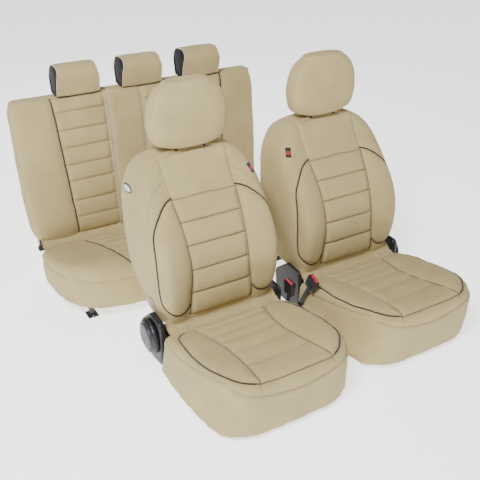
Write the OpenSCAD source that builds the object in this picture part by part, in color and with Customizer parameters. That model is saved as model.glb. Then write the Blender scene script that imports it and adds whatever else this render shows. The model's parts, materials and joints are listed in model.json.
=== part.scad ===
// Set of fitted car seat covers on the seats that carry them: two front seats and a split rear bench.
// The origin is on the floor below the middle of the whole set. +Z is up and the seats face -Y.
// Each front seat is drawn in its own frame: x from its middle, y from its seat reference line,
// z from the lower edge of the bench cover. The left seat is the right one mirrored.

/* [Layout] */
// Distance between the middles of the two front seats
seat_pitch = 730; // [710:5:800]
// How much further back the left seat stands on its rails
left_set_back = 60; // [0:5:60]
// Distance from the right seat's middle to the bench's middle
bench_offset = 109; // [0:1:360]
// Height of the bench cover's lower edge above the floor
skirt_gap = 65; // [64:1:80]
// How much lower the front seats' skirts reach
skirt_drop = 40; // [30:1:42]

/* [Covers] */
// Thickness of the padded cover cloth
cover_t = 4; // [3:0.5:6]
// Space between a cover and the foam below it
foam_gap = 0.5; // [0.3:0.1:1]

/* [Front cushion] */
// Half the width of the flat middle of the cushion
insert_half = 155; // [140:1:170]
// Height of the cushion's side bolsters above its middle
cushion_bolster = 18; // [10:1:22]
// Slope of the cushion's top, in degrees
cushion_rake = 10.5; // [9:0.5:11]
// How far the front edge lies ahead of the seat reference line
cushion_front = 500; // [490:1:510]
// Where the cushion ends, behind the seat reference line
cushion_rear = 60; // [50:1:62]

/* [Front backrest] */
// Height of the recliner's pivot above the covers' lower edge
pivot_z = 70; // [65:1:75]
// Distance of the recliner's pivot behind the seat reference line
pivot_y = 150; // [145:1:155]
// Radius of each recliner pin
pin_r = 8; // [6:0.5:10]
// How far the side bolsters stand ahead of the backrest's middle
back_bolster = 24; // [15:1:26]
// Radius of the recliner's hand wheel
wheel_r = 80; // [70:1:82]

/* [Head restraints] */
// Half the distance between the two posts of a front head restraint
post_half = 65; // [55:1:75]
// Half the distance between the two posts of a bench head restraint
bench_post_half = 55; // [45:1:60]
// Radius of every head restraint post
post_r = 6; // [5:0.5:7]
// Angle between the front posts and the vertical, in degrees
post_tilt = 14; // [12:1:16]

/* [Belt buckles] */
// Distance of a buckle from the middle of its seat
buckle_x = 322; // [318:1:324]
// Forward lean of the right seat's buckle, in degrees
right_buckle_lean = 4; // [0:1:12]
// Forward lean of the left seat's buckle, in degrees
left_buckle_lean = 27; // [20:1:35]
// Distance from the pivot of the right seat's buckle to its housing
right_stalk = 105; // [100:1:120]
// Distance from the pivot of the left seat's buckle to its housing
left_stalk = 148; // [140:1:155]
// How far the red release button stands out of its housing
button_proud = 5; // [4.5:0.5:6]

/* [Rear bench] */
// Half the width of the bench
bench_half = 662; // [655:1:670]
// Where the backrest is split, measured from the bench's middle
split_x = -183; // [-190:1:-175]
// Width of the gap between the two backrests
split_gap = 4; // [3:0.5:5]
// Distance between neighbouring bench head restraints
head_pitch = 333; // [325:1:340]

/* [Floor fixings] */
// Radius of the bolt holes in the front seats' floor rails
rail_hole_r = 4.5; // [4:0.5:6]
// Distance between the front and rear bolts of a floor rail
rail_bolt_y = 600; // [580:5:610]
// Radius of the bolt holes in the bench's feet
foot_hole_r = 5; // [4:0.5:6]

/* [Hidden] */

$fn = 48;
eps = 0.01;                       // keeps a cut from ending exactly on a face
run = 0.06;                       // radial running clearance of pins, posts and shafts
wheel_out = 342;                  // outer face of the recliner's hand wheel
trim_in = 285;                    // inner face of the side trims
trim_out = 303;                   // outer face of the side trims
bracket_in = 240;                 // inner face of the recliner brackets
bracket_out = 256;                // outer face of the recliner brackets
arm_in = 225;                     // inner face of the backrest frame's arms
arm_t = 12;                       // thickness of the backrest frame's arms
arm_lean = 18.4;                  // lean of the backrest frame's arms
rail_x = 205;                     // middle of each floor rail
rail_w = 40;
rail_h = 22;
rail_front = -425;                // front end of the floor rails
rail_len = 655;
pan_z = 56;                       // top of the seat pan
post_y = 355;                     // where the front posts leave the backrest
back_top = 800;                   // top of the front backrest
head_mid_y = 375;
head_z0 = 802;                    // lowest point of a front head restraint
head_z1 = 1092;                   // highest point of a front head restraint
bench_pivot_y = 1075;
bench_pivot_z = 105;
bench_front = 497;                // front face of the bench cushion
bench_rear = 1000;                // rear end of the bench cushion
bench_back_z0 = 150;
bench_back_z1 = 856;
bench_back_rear = 1214;           // rearmost point of the bench backrest
bench_tilt = 6.2;                 // lean of the bench backrest and its posts
bench_post_y = 1162;              // where the bench posts leave the backrest
bench_head_z0 = 860;
right_buckle_y = 56;              // pivot of the right seat's buckle, behind the seat reference line
left_buckle_y = 20;
buckle_z = 20;                    // height of both buckle pivots
housing_long = 68;

// The whole set is moved so that its middle lies over the origin.
set_left = bench_offset - bench_half;
set_right = seat_pitch + wheel_out;
set_front = -cushion_front - 9;
shift = [-(set_left + set_right) / 2, -(set_front + bench_back_rear) / 2, skirt_gap];
right_seat = [shift.x, shift.y, shift.z];
left_seat = [shift.x + seat_pitch, shift.y + left_set_back, shift.z];
bench_place = [shift.x + bench_offset, shift.y, shift.z];

// ---------- helpers ----------

// Smooth curve through the points, with n steps from each point to the next
function curve(p, n = 5) = concat(
    [for (i = [0:len(p) - 2]) for (k = [0:n - 1])
        let (t = k / n, a = p[max(i - 1, 0)], b = p[i], c = p[i + 1], d = p[min(i + 2, len(p) - 1)])
        0.5 * (2 * b + (c - a) * t + (2 * a - 5 * b + 4 * c - d) * t * t
            + (3 * b - a - 3 * c + d) * t * t * t)],
    [p[len(p) - 1]]);

// The same points on the other side of the middle, in the opposite order
function other_side(p) = [for (i = [len(p) - 1:-1:0]) [-p[i].x, p[i].y]];

module right_place() {
    translate(right_seat) children();
}
module left_place() {
    translate(left_seat) mirror([1, 0, 0]) children();
}
module at_bench() {
    translate(bench_place) children();
}
// A side view, drawn as (y, z), made solid from x0 to x1
module side_slab(x0, x1) {
    translate([x0, 0, 0]) rotate([90, 0, 90]) linear_extrude(x1 - x0) children();
}
// A front view, drawn as (x, z), made solid from y0 to y1
module front_slab(y0, y1) {
    translate([0, y1, 0]) rotate([90, 0, 0]) linear_extrude(y1 - y0) children();
}
// A cylinder along X
module bar_x(x0, x1, r) {
    translate([x0, 0, 0]) rotate([0, 90, 0]) cylinder(h = x1 - x0, r = r);
}
module both_sides() {
    for (s = [0, 1]) mirror([s, 0, 0]) children();
}

// ---------- front seat: fixed parts and slides ----------

module floor_rail() {
    difference() {
        translate([rail_x - rail_w / 2, rail_front, -skirt_gap]) cube([rail_w, rail_len, rail_h]);
        translate([rail_x - 16, rail_front - 1, -skirt_gap + 3]) cube([32, rail_len + 2, 16]);
        translate([rail_x - 8, rail_front - 1, -skirt_gap + 4]) cube([16, rail_len + 2, rail_h]);
        for (s = [-1, 1]) translate([rail_x, rail_front + rail_len / 2 + s * rail_bolt_y / 2, -skirt_gap - 1])
            cylinder(h = 6, r = rail_hole_r);
    }
}
module floor_rails() {
    color("dimgray") {
        right_place() both_sides() floor_rail();
        left_place() both_sides() floor_rail();
    }
}
module slider_rails() {
    color("silver") both_sides() {
        translate([rail_x - 15, -330, -skirt_gap + 4]) cube([30, 480, 13]);
        translate([rail_x - 6, -330, -skirt_gap + 16]) cube([12, 480, skirt_gap - 8]);
    }
}
module recliner_bracket() {
    side_slab(bracket_in, bracket_out) {
        polygon([[0, 14], [pivot_y + 20, 40], [pivot_y + 26, pivot_z], [pivot_y - 20, pivot_z + 24],
            [cushion_rear + 6, pan_z - 2], [0, pan_z - 2]]);
        translate([pivot_y, pivot_z]) circle(r = 28);
    }
}
module seat_pan(buckle_y) {
    color("dimgray") difference() {
        union() {
            translate([-212, -460, pan_z - 3]) cube([424, 500, 3]);
            both_sides() {
                translate([198, -460, 8]) cube([14, 500, pan_z - 10]);
                recliner_bracket();
                translate([0, pivot_y, pivot_z]) bar_x(arm_in - 4, bracket_in + eps, pin_r);
                bar_lug();
            }
            translate([0, 20, 34]) bar_x(-bracket_out, bracket_out, 14);
            translate([0, -430, 30]) bar_x(-210, 210, 12);
            buckle_bolt(buckle_y);
        }
        both_sides() translate([0, pivot_y, pivot_z]) bar_x(bracket_out - 12, bracket_out + 1, 6 + run);
    }
}
module slide_bar() {
    color("black") {
        translate([0, -478, 0]) bar_x(-120, 120, 5);
        for (s = [-1, 1]) translate([s * 120, 0, 0]) {
            translate([0, -478, 0]) sphere(r = 5);
            translate([0, -478, 0]) rotate([-90, 0, 0]) cylinder(h = 111, r = 5);
            difference() {
                translate([0, -360, 0]) bar_x(-7, 7, 9);
                translate([0, -360, 0]) bar_x(-8, 8, 5 + run);
            }
        }
    }
}
// Lugs and pin below the pan that carry one arm of the slide bar
module bar_lug() {
    for (x = [108, 128]) translate([x, -368, -7]) cube([4, 16, pan_z - 4 + 7]);
    translate([0, -360, 0]) bar_x(108, 132, 5);
}

// ---------- front seat: cushion ----------

function cushion_top(y) = 118 + (10 - y) * tan(cushion_rake);

module cushion_profile(rise) {
    polygon(concat(
        [[-cushion_front + 8, -skirt_drop], [-cushion_front + 4, 0]],
        curve([[-cushion_front, 60], [-cushion_front - 9, 142], [-cushion_front + 2, 186],
            [-cushion_front + 34, cushion_top(-cushion_front + 34)],
            [-400, cushion_top(-400) + rise * 0.9], [-240, cushion_top(-240) + rise],
            [-60, cushion_top(-60) + rise], [10, cushion_top(10) + rise * 0.5],
            [cushion_rear - 8, 104], [cushion_rear, 84]]),
        [[cushion_rear, -skirt_drop]]));
}
module cushion_plan() {
    half = curve([[100, -cushion_front - 9], [185, -cushion_front - 3], [243, -476], [280, -410],
        [300, -300], [306, -150], [303, 0], [298, cushion_rear]]);
    polygon(concat(half, other_side(half)));
}
// The cushion's outer form, drawn in by t all round, from height z0 up
module cushion_form(t, z0) {
    intersection() {
        translate([0, 0, z0]) linear_extrude(300) offset(delta = -t) cushion_plan();
        union() {
            side_slab(-320, 320) offset(delta = -t) cushion_profile(0);
            both_sides() side_slab(insert_half + t, 320) offset(delta = -t) cushion_profile(cushion_bolster);
        }
    }
}
module cushion_cover(buckle_y) {
    color("#c6b997") difference() {
        cushion_form(0, -skirt_drop);
        cushion_form(cover_t, 2 * cover_t - skirt_drop);
        // the skirt is open below, and behind under the backrest
        translate([0, 0, -skirt_drop - 1]) linear_extrude(3 * cover_t)
            offset(delta = -cover_t) cushion_plan();
        translate([-272, 0, -skirt_drop - 1]) cube([544, 100, pan_z + skirt_drop + 1]);
        // hole for the buckle's anchor bolt
        translate([0, buckle_y, buckle_z]) bar_x(266, 312, 9);
    }
}
module cushion_foam() {
    color("khaki") cushion_form(cover_t + foam_gap, pan_z + foam_gap);
}

// ---------- front seat: recliner trims and hand wheel ----------

module trim_view(top) {
    hull() {
        translate([94, top - 28]) circle(r = 24, $fn = 32);
        translate([160, top - 38]) circle(r = 34, $fn = 32);
        translate([226, 66]) circle(r = 40, $fn = 32);
        translate([222, -12]) circle(r = 36, $fn = 32);
        translate([150, -22]) circle(r = 28, $fn = 32);
        translate([90, 0]) circle(r = 24, $fn = 32);
    }
}
module outer_trim() {
    color("#2b2d33") difference() {
        union() {
            side_slab(-trim_out, -trim_in) trim_view(176);
            translate([0, pivot_y, pivot_z]) bar_x(-trim_in - eps, -bracket_out, 32);
        }
        translate([0, pivot_y, pivot_z]) {
            bar_x(-trim_in + 4, -bracket_out + 1, 28);
            bar_x(-trim_out - 1, -bracket_out, 9);
        }
    }
}
module inner_trim() {
    color("#2b2d33") difference() {
        union() {
            side_slab(trim_in, trim_out - 6) trim_view(168);
            translate([0, pivot_y, pivot_z]) bar_x(bracket_out, trim_in + eps, 32);
        }
        translate([0, pivot_y, pivot_z]) bar_x(bracket_out - 1, trim_in - 4, 28);
    }
}
module recliner_wheel() {
    wheel_in = trim_out + 2;
    color("#35363b") translate([0, pivot_y, pivot_z]) {
        translate([-wheel_in, 0, 0]) rotate([0, -90, 0]) rotate_extrude($fn = 72) polygon([[0, 0],
            [wheel_r - 4, 0], [wheel_r, 5], [wheel_r, 14], [wheel_r - 10, 28],
            [wheel_r * 0.6, wheel_out - wheel_in], [0, wheel_out - wheel_in]]);
        bar_x(-wheel_in - eps, -bracket_out + 8, 6);
    }
}

// ---------- front seat: belt buckle ----------

// Places children at the buckle's pivot, leaning forward, with +Z along the stalk.
// b holds the pivot's y, the lean and the distance from the pivot to the housing.
module buckle_frame(b) {
    translate([buckle_x, b[0], buckle_z]) rotate([b[1], 0, 0]) children();
}
module buckle_stalk(b) {
    color("#1c1c20") buckle_frame(b) {
        difference() {
            union() {
                translate([-4, -9, 0]) cube([8, 18, b[2] + 2]);
                bar_x(-4, 4, 16);
            }
            bar_x(-5, 5, 6 + run);
        }
    }
}
// The buckle's anchor bolt is part of the seat pan
module buckle_bolt(buckle_y) {
    translate([0, buckle_y, buckle_z]) {
        bar_x(204, buckle_x + 5, 6);
        bar_x(buckle_x + 5, buckle_x + 11, 10);
        bar_x(204, buckle_x - 5, 8);
    }
}
module buckle_housing(b) {
    color("#23262b") buckle_frame(b) translate([0, 0, b[2]]) difference() {
        hull() for (x = [-8, 8], y = [-24, 24]) translate([x, y, 0])
            cylinder(h = housing_long, r = 5, $fn = 32);
        translate([-4.2, -9.2, -1]) cube([8.4, 18.4, 3.2]);
        // well of the release button, and the slot for the belt's tongue behind it
        translate([-9, -24, housing_long - 20]) cube([11, 48, 30]);
        translate([5, -17, housing_long - 40]) cube([3.6, 34, 50]);
    }
}
module buckle_button(b) {
    color("#c8324a") buckle_frame(b) translate([-8.5, -23.5, b[2] + housing_long - 14])
        cube([10, 47, 14 + button_proud]);
}

// ---------- front seat: backrest ----------

module back_profile(ahead) {
    polygon(concat(
        curve([[100, 128], [91 - ahead * 0.3, 180], [89 - ahead, 270], [94 - ahead, 363],
            [123 - ahead, 464], [171 - ahead, 551], [232 - ahead * 0.7, 633], [310 - ahead * 0.2, 742],
            [338, 784], [356, back_top]]),
        curve([[430, back_top], [452, 772], [450, 700], [438, 560], [418, 400], [380, 250],
            [330, 165], [290, 122]])));
}
module back_outline() {
    half = curve([[262, 110], [268, 180], [284, 280], [292, 400], [293, 500], [286, 590],
        [266, 668], [230, 732], [178, 774], [118, 794], [70, back_top + 1]]);
    polygon(concat(half, other_side(half)));
}
// The backrest's outer form, drawn in by t all round
module back_form(t) {
    intersection() {
        front_slab(0, 500) offset(delta = -t) back_outline();
        union() {
            side_slab(-300, 300) offset(delta = -t) back_profile(0);
            both_sides() side_slab(insert_half - 10 + t, 300) offset(delta = -t) back_profile(back_bolster);
        }
    }
}
// Places children where the front posts leave the backrest, with +Z along the posts
module post_frame() {
    translate([0, post_y, back_top - 20]) rotate([-post_tilt, 0, 0]) children();
}
module back_cover() {
    color("#c6b997") difference() {
        back_form(0);
        back_form(cover_t);
        translate([-258, 96, 100]) cube([516, 200, 50]);
        both_sides() post_frame() translate([post_half, 0, -30]) cylinder(h = 80, r = 12);
    }
}
// The frame, with every member thicker by g
module frame_members(g) {
    both_sides() {
        translate([arm_in - g, pivot_y, pivot_z]) rotate([-arm_lean, 0, 0])
            translate([0, -22 - g, 0]) cube([arm_t + 2 * g, 44 + 2 * g, 655 + g]);
        translate([0, pivot_y, pivot_z]) bar_x(arm_in - g, arm_in + arm_t + g, 26 + g);
        post_frame() translate([post_half, 0, -100 - g]) cylinder(h = 82 + 2 * g, r = 16 + g);
    }
    translate([0, 353, 680]) bar_x(-arm_in - 1, arm_in + 1, 12 + g);
    translate([0, 236, 330]) bar_x(-arm_in - 1, arm_in + 1, 9 + g);
}
module back_frame() {
    color("dimgray") difference() {
        frame_members(0);
        both_sides() {
            translate([0, pivot_y, pivot_z]) bar_x(arm_in - 1, arm_in + arm_t + 1, pin_r + run);
            post_frame() translate([post_half, 0, -150]) cylinder(h = 150, r = 11);
        }
    }
}
module back_foam() {
    color("khaki") difference() {
        back_form(cover_t + foam_gap);
        frame_members(foam_gap);
        translate([-258, 96, 90]) cube([516, 200, 62]);
        both_sides() post_frame() translate([post_half, 0, -200]) cylinder(h = 260, r = 17);
    }
}
module post_guides() {
    color("black") both_sides() post_frame() translate([post_half, 0, 0]) difference() {
        union() {
            translate([0, 0, -84]) cylinder(h = 110, r = 11);
            translate([0, 0, 26]) cylinder(h = 4, r = 17);
        }
        translate([0, 0, -90]) cylinder(h = 130, r = post_r + run);
    }
}
// A raised piece on the backrest's side, sewn on just inside the cover's skin.
// Its outline, drawn as (y, z), reaches from x0 to x1.
module sewn_on(x0, x1, proud) {
    difference() {
        intersection() {
            back_form(-proud);
            side_slab(x0, x1) children();
        }
        back_form(1);
    }
}
module side_badge() {
    color("whitesmoke") sewn_on(-320, -200, 2.5) translate([372, 648]) {
        for (s = [-1, 1]) translate([s * 25, 0]) circle(r = 20);
        translate([-25, -20]) square([50, 40]);
    }
}
module shoulder_tag() {
    color("#26181c") sewn_on(222, 246, 1.5) translate([200, 672]) square([100, 34]);
}

// ---------- front seat: head restraint ----------

module headrest_view(t) {
    half = curve([[108, head_z0 + t], [160 - t, head_z0 + 28], [181 - t, head_z0 + 95],
        [178 - t, head_z0 + 160], [150 - t, head_z0 + 232 - t], [95 - t, head_z0 + 268 - t],
        [0, head_z1 - t]]);
    polygon(concat(half, other_side(half)));
}
module headrest_form(t) {
    hull() {
        front_slab(head_mid_y - 64 + t, head_mid_y - 62 + t)
            translate([0, 0.5 * (head_z0 + head_z1)]) scale([0.74, 0.74])
                translate([0, -0.5 * (head_z0 + head_z1)]) headrest_view(0);
        front_slab(head_mid_y - 34, head_mid_y + 26) headrest_view(t);
        front_slab(head_mid_y + 62 - t, head_mid_y + 64 - t)
            translate([0, 0.5 * (head_z0 + head_z1)]) scale([0.7, 0.7])
                translate([0, -0.5 * (head_z0 + head_z1)]) headrest_view(0);
    }
}
module headrest_posts() {
    color("silver") both_sides() post_frame() translate([post_half, 0, -140])
        cylinder(h = 300, r = post_r);
}
module headrest_cover() {
    color("#c6b997") difference() {
        headrest_form(0);
        headrest_form(cover_t);
        // open below, where the posts come out
        translate([-90, head_mid_y - 44, head_z0 - 1]) cube([180, 84, 12]);
    }
}
module headrest_foam() {
    color("khaki") difference() {
        headrest_form(cover_t + foam_gap);
        // hollow above the post guides
        translate([-90, head_mid_y - 44, head_z0 - 1]) cube([180, 84, 16]);
        both_sides() post_frame() translate([post_half, 0, -140]) cylinder(h = 300.5, r = post_r + 0.3);
    }
}

// ---------- rear bench: base and cushion ----------

module bench_profile() {
    polygon(concat([[bench_front + 8, 0]],
        curve([[bench_front + 2, 60], [bench_front, 130], [bench_front + 14, 182],
            [bench_front + 60, 206], [700, 194], [860, 174], [bench_rear - 40, 162],
            [bench_rear - 8, 146], [bench_rear, 120]]),
        [[bench_rear, 0]]));
}
module bench_plan() {
    half = curve([[150, bench_front - 1], [347, bench_front + 10], [475, bench_front + 40],
        [560, bench_front + 88], [612, bench_front + 160], [641, bench_front + 250],
        [654, bench_front + 360], [655, bench_rear - 80], [642, bench_rear - 30], [600, bench_rear]]);
    polygon(concat(half, other_side(half)));
}
module bench_cushion_form(t, z0) {
    intersection() {
        translate([0, 0, z0]) linear_extrude(300) offset(delta = -t) bench_plan();
        side_slab(-700, 700) offset(delta = -t) bench_profile();
    }
}
module bench_cushion_cover() {
    color("#c6b997") difference() {
        bench_cushion_form(0, 0);
        bench_cushion_form(cover_t, 2 * cover_t);
        translate([0, 0, -1]) linear_extrude(3 * cover_t) offset(delta = -cover_t) bench_plan();
        translate([-618, bench_rear - 20, -1]) cube([1236, 40, 48]);
    }
}
module bench_cushion_foam() {
    color("khaki") bench_cushion_form(cover_t + foam_gap, 44.5);
}
// Brackets that carry the two backrests' hinge pins
bracket_places = [-bench_half + 56, split_x - 26, split_x + 16, bench_half - 66];
// The two ends of each hinge pin
pin_ends = [[-bench_half + 24, -bench_half + 56], [split_x - 58, split_x - 26],
    [split_x + 26, split_x + 58], [bench_half - 56, bench_half - 24]];
module bench_foot(x, y) {
    difference() {
        union() {
            translate([x - 25, y - 30, -skirt_gap]) cube([50, 60, 5]);
            translate([x - 12, y - 12, -skirt_gap]) cube([24, 24, skirt_gap + 18]);
        }
        translate([x, y - 21, -skirt_gap - 1]) cylinder(h = 7, r = foot_hole_r);
    }
}
module bench_base_frame() {
    color("dimgray") {
        translate([-548, 606, 16]) cube([1096, 28, 28]);
        translate([-620, 946, 16]) cube([1240, 28, 28]);
        for (x = [-548, -14, 520]) translate([x, 620, 16]) cube([28, 340, 28]);
        for (x = [-534, 534], y = [620, 960]) bench_foot(x, y);
        for (x = bracket_places) {
            translate([x, 950, 18]) cube([10, 130, 26]);
            translate([x, bench_pivot_y - 18, 18]) cube([10, 36, bench_pivot_z - 18]);
            translate([0, bench_pivot_y, bench_pivot_z]) bar_x(x, x + 10, 18);
        }
        for (p = pin_ends) translate([0, bench_pivot_y, bench_pivot_z]) bar_x(p[0] - eps, p[1] + eps, pin_r);
    }
}

// ---------- rear bench: backrests ----------

module bench_back_profile() {
    polygon(concat(
        curve([[1052, bench_back_z0], [1044, 175], [1054, 340], [1078, 580], [1104, 780],
            [1118, 832], [1134, bench_back_z1]]),
        curve([[1192, bench_back_z1], [1208, 838], [bench_back_rear, 800], [1204, 600], [1186, 300],
            [1172, 175], [1160, bench_back_z0]])));
}
module bench_back_outline() {
    half = concat([[bench_half - 14, bench_back_z0]],
        curve([[bench_half - 4, 250], [bench_half, 400], [bench_half - 2, 700], [bench_half - 8, 800],
            [bench_half - 30, 840], [bench_half - 80, bench_back_z1 + 1]]));
    polygon(concat(half, other_side(half)));
}
// A backrest, drawn in by t all round. b holds its two ends and its head restraints' places.
module bench_back_form(b, t) {
    intersection() {
        front_slab(900, 1300) offset(delta = -t) bench_back_outline();
        side_slab(b[0] + t, b[1] - t) offset(delta = -t) bench_back_profile();
    }
}
module bench_post_frame(x) {
    translate([x, bench_post_y, bench_back_z1 - 16]) rotate([-bench_tilt, 0, 0]) children();
}
module bench_post_holes(heads, low, high, r) {
    for (x = heads, s = [-1, 1]) bench_post_frame(x) translate([s * bench_post_half, 0, low])
        cylinder(h = high - low, r = r);
}
// Frame of a backrest, with every member thicker by g
module bench_members(b, g) {
    side_y = 1118;
    x0 = b[0];
    x1 = b[1];
    for (x = [x0 + 34, x1 - 46]) {
        translate([x - g, bench_pivot_y - 12 - g, bench_pivot_z]) rotate([-bench_tilt, 0, 0])
            cube([12 + 2 * g, 36 + 2 * g, 650 + g]);
        translate([0, bench_pivot_y, bench_pivot_z]) bar_x(x - 6 - g, x + 18 + g, 16 + g);
    }
    translate([0, bench_post_y - 12, 740]) bar_x(x0 + 34, x1 - 34, 11 + g);
    translate([0, side_y, 230]) bar_x(x0 + 34, x1 - 34, 11 + g);
    bench_post_holes(b[2], -130 - g, -20 + g, 12 + g);
}
module bench_back_frame(b) {
    color("dimgray") difference() {
        bench_members(b, 0);
        translate([0, bench_pivot_y, bench_pivot_z]) bar_x(b[0], b[1], pin_r + run);
        bench_post_holes(b[2], -131, 40, post_r + run);
    }
}
module bench_back_foam(b) {
    color("khaki") difference() {
        bench_back_form(b, cover_t + foam_gap);
        bench_members(b, foam_gap);
        bench_post_holes(b[2], -220, 60, 13);
    }
}
module bench_back_cover(b) {
    color("#c6b997") difference() {
        bench_back_form(b, 0);
        bench_back_form(b, cover_t);
        translate([b[0] + 14, 1060, bench_back_z0 - 5]) cube([b[1] - b[0] - 28, 100, 12]);
        bench_post_holes(b[2], -60, 60, 13);
    }
}
// A zip down the front of the wide backrest, sewn on just inside the cover's skin
module wide_back_zip() {
    color("#8f8468") difference() {
        intersection() {
            bench_back_form(wide_back, -2);
            translate([-5, 1000, 180]) cube([10, 140, 600]);
        }
        bench_back_form(wide_back, 1);
    }
}

// ---------- rear bench: head restraints ----------

module bench_head_view(t) {
    hull() {
        translate([bench_post_y - 30, bench_head_z0 + 20]) circle(r = 20 - t, $fn = 32);
        translate([bench_post_y + 20, bench_head_z0 + 20]) circle(r = 18 - t, $fn = 32);
        translate([bench_post_y - 22, bench_head_z0 + 88]) circle(r = 42 - t, $fn = 32);
        translate([bench_post_y + 22, bench_head_z0 + 96]) circle(r = 30 - t, $fn = 32);
    }
}
module bench_head_posts(x) {
    color("silver") bench_post_holes([x], -150, 90, post_r);
}
module bench_head_pad(x) {
    color("#1d1e22") difference() {
        side_slab(x - 111, x + 111) bench_head_view(cover_t + foam_gap);
        bench_post_holes([x], -10, 90.5, post_r + 0.3);
    }
}
module bench_head_cover(x) {
    color("#c6b997") difference() {
        side_slab(x - 106, x + 106) bench_head_view(0);
        side_slab(x - 112, x + 112) bench_head_view(cover_t);
        translate([x - 80, bench_post_y - 30, bench_head_z0 - 5]) cube([160, 60, 14]);
    }
}

head_mid = 10;                    // the middle head restraint's place
outer_head = head_mid - head_pitch;
inner_head = head_mid + head_pitch;
narrow_back = [-bench_half, split_x - split_gap / 2, [outer_head]];
wide_back = [split_x + split_gap / 2, bench_half, [head_mid, inner_head]];
right_buckle = [right_buckle_y, right_buckle_lean, right_stalk];
left_buckle = [left_buckle_y, left_buckle_lean, left_stalk];

floor_rails();
right_place() slider_rails();  // right_slider_rails
right_place() seat_pan(right_buckle_y);  // right_seat_pan
right_place() cushion_foam();  // right_cushion_foam
right_place() cushion_cover(right_buckle_y);  // right_cushion_cover
right_place() outer_trim();  // right_outer_trim
right_place() inner_trim();  // right_inner_trim
right_place() recliner_wheel();  // right_recliner_wheel
right_place() slide_bar();  // right_slide_bar
right_place() buckle_stalk(right_buckle);  // right_buckle_stalk
right_place() buckle_housing(right_buckle);  // right_buckle_housing
right_place() buckle_button(right_buckle);  // right_buckle_button
right_place() back_frame();  // right_back_frame
right_place() back_foam();  // right_back_foam
right_place() back_cover();  // right_back_cover
right_place() post_guides();  // right_post_guides
right_place() side_badge();  // right_side_badge
right_place() shoulder_tag();  // right_shoulder_tag
right_place() headrest_posts();  // right_headrest_posts
right_place() headrest_foam();  // right_headrest_foam
right_place() headrest_cover();  // right_headrest_cover
left_place() slider_rails();  // left_slider_rails
left_place() seat_pan(left_buckle_y);  // left_seat_pan
left_place() cushion_foam();  // left_cushion_foam
left_place() cushion_cover(left_buckle_y);  // left_cushion_cover
left_place() outer_trim();  // left_outer_trim
left_place() inner_trim();  // left_inner_trim
left_place() recliner_wheel();  // left_recliner_wheel
left_place() slide_bar();  // left_slide_bar
left_place() buckle_stalk(left_buckle);  // left_buckle_stalk
left_place() buckle_housing(left_buckle);  // left_buckle_housing
left_place() buckle_button(left_buckle);  // left_buckle_button
left_place() back_frame();  // left_back_frame
left_place() back_foam();  // left_back_foam
left_place() back_cover();  // left_back_cover
left_place() post_guides();  // left_post_guides
left_place() side_badge();  // left_side_badge
left_place() shoulder_tag();  // left_shoulder_tag
left_place() headrest_posts();  // left_headrest_posts
left_place() headrest_foam();  // left_headrest_foam
left_place() headrest_cover();  // left_headrest_cover
at_bench() bench_base_frame();
at_bench() bench_cushion_foam();
at_bench() bench_cushion_cover();
at_bench() bench_back_frame(narrow_back);  // narrow_back_frame
at_bench() bench_back_foam(narrow_back);  // narrow_back_foam
at_bench() bench_back_cover(narrow_back);  // narrow_back_cover
at_bench() bench_back_frame(wide_back);  // wide_back_frame
at_bench() bench_back_foam(wide_back);  // wide_back_foam
at_bench() bench_back_cover(wide_back);  // wide_back_cover
at_bench() wide_back_zip();
at_bench() bench_head_posts(outer_head);  // outer_head_posts
at_bench() bench_head_pad(outer_head);  // outer_head_pad
at_bench() bench_head_cover(outer_head);  // outer_head_cover
at_bench() bench_head_posts(head_mid);  // middle_head_posts
at_bench() bench_head_pad(head_mid);  // middle_head_pad
at_bench() bench_head_cover(head_mid);  // middle_head_cover
at_bench() bench_head_posts(inner_head);  // inner_head_posts
at_bench() bench_head_pad(inner_head);  // inner_head_pad
at_bench() bench_head_cover(inner_head);  // inner_head_cover
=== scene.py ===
"""Looks of a set of fitted seat covers, two front seats and a split rear bench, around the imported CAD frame.

All sizes are metres. Each front seat is shaped in its own frame: x from its middle, y from its seat
reference line, z from the bench cover's lower edge. The left seat is the right one mirrored in x.
"""

import json
import math

import bmesh
import bpy
import numpy as np
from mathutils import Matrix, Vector
from mathutils.bvhtree import BVHTree


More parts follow.
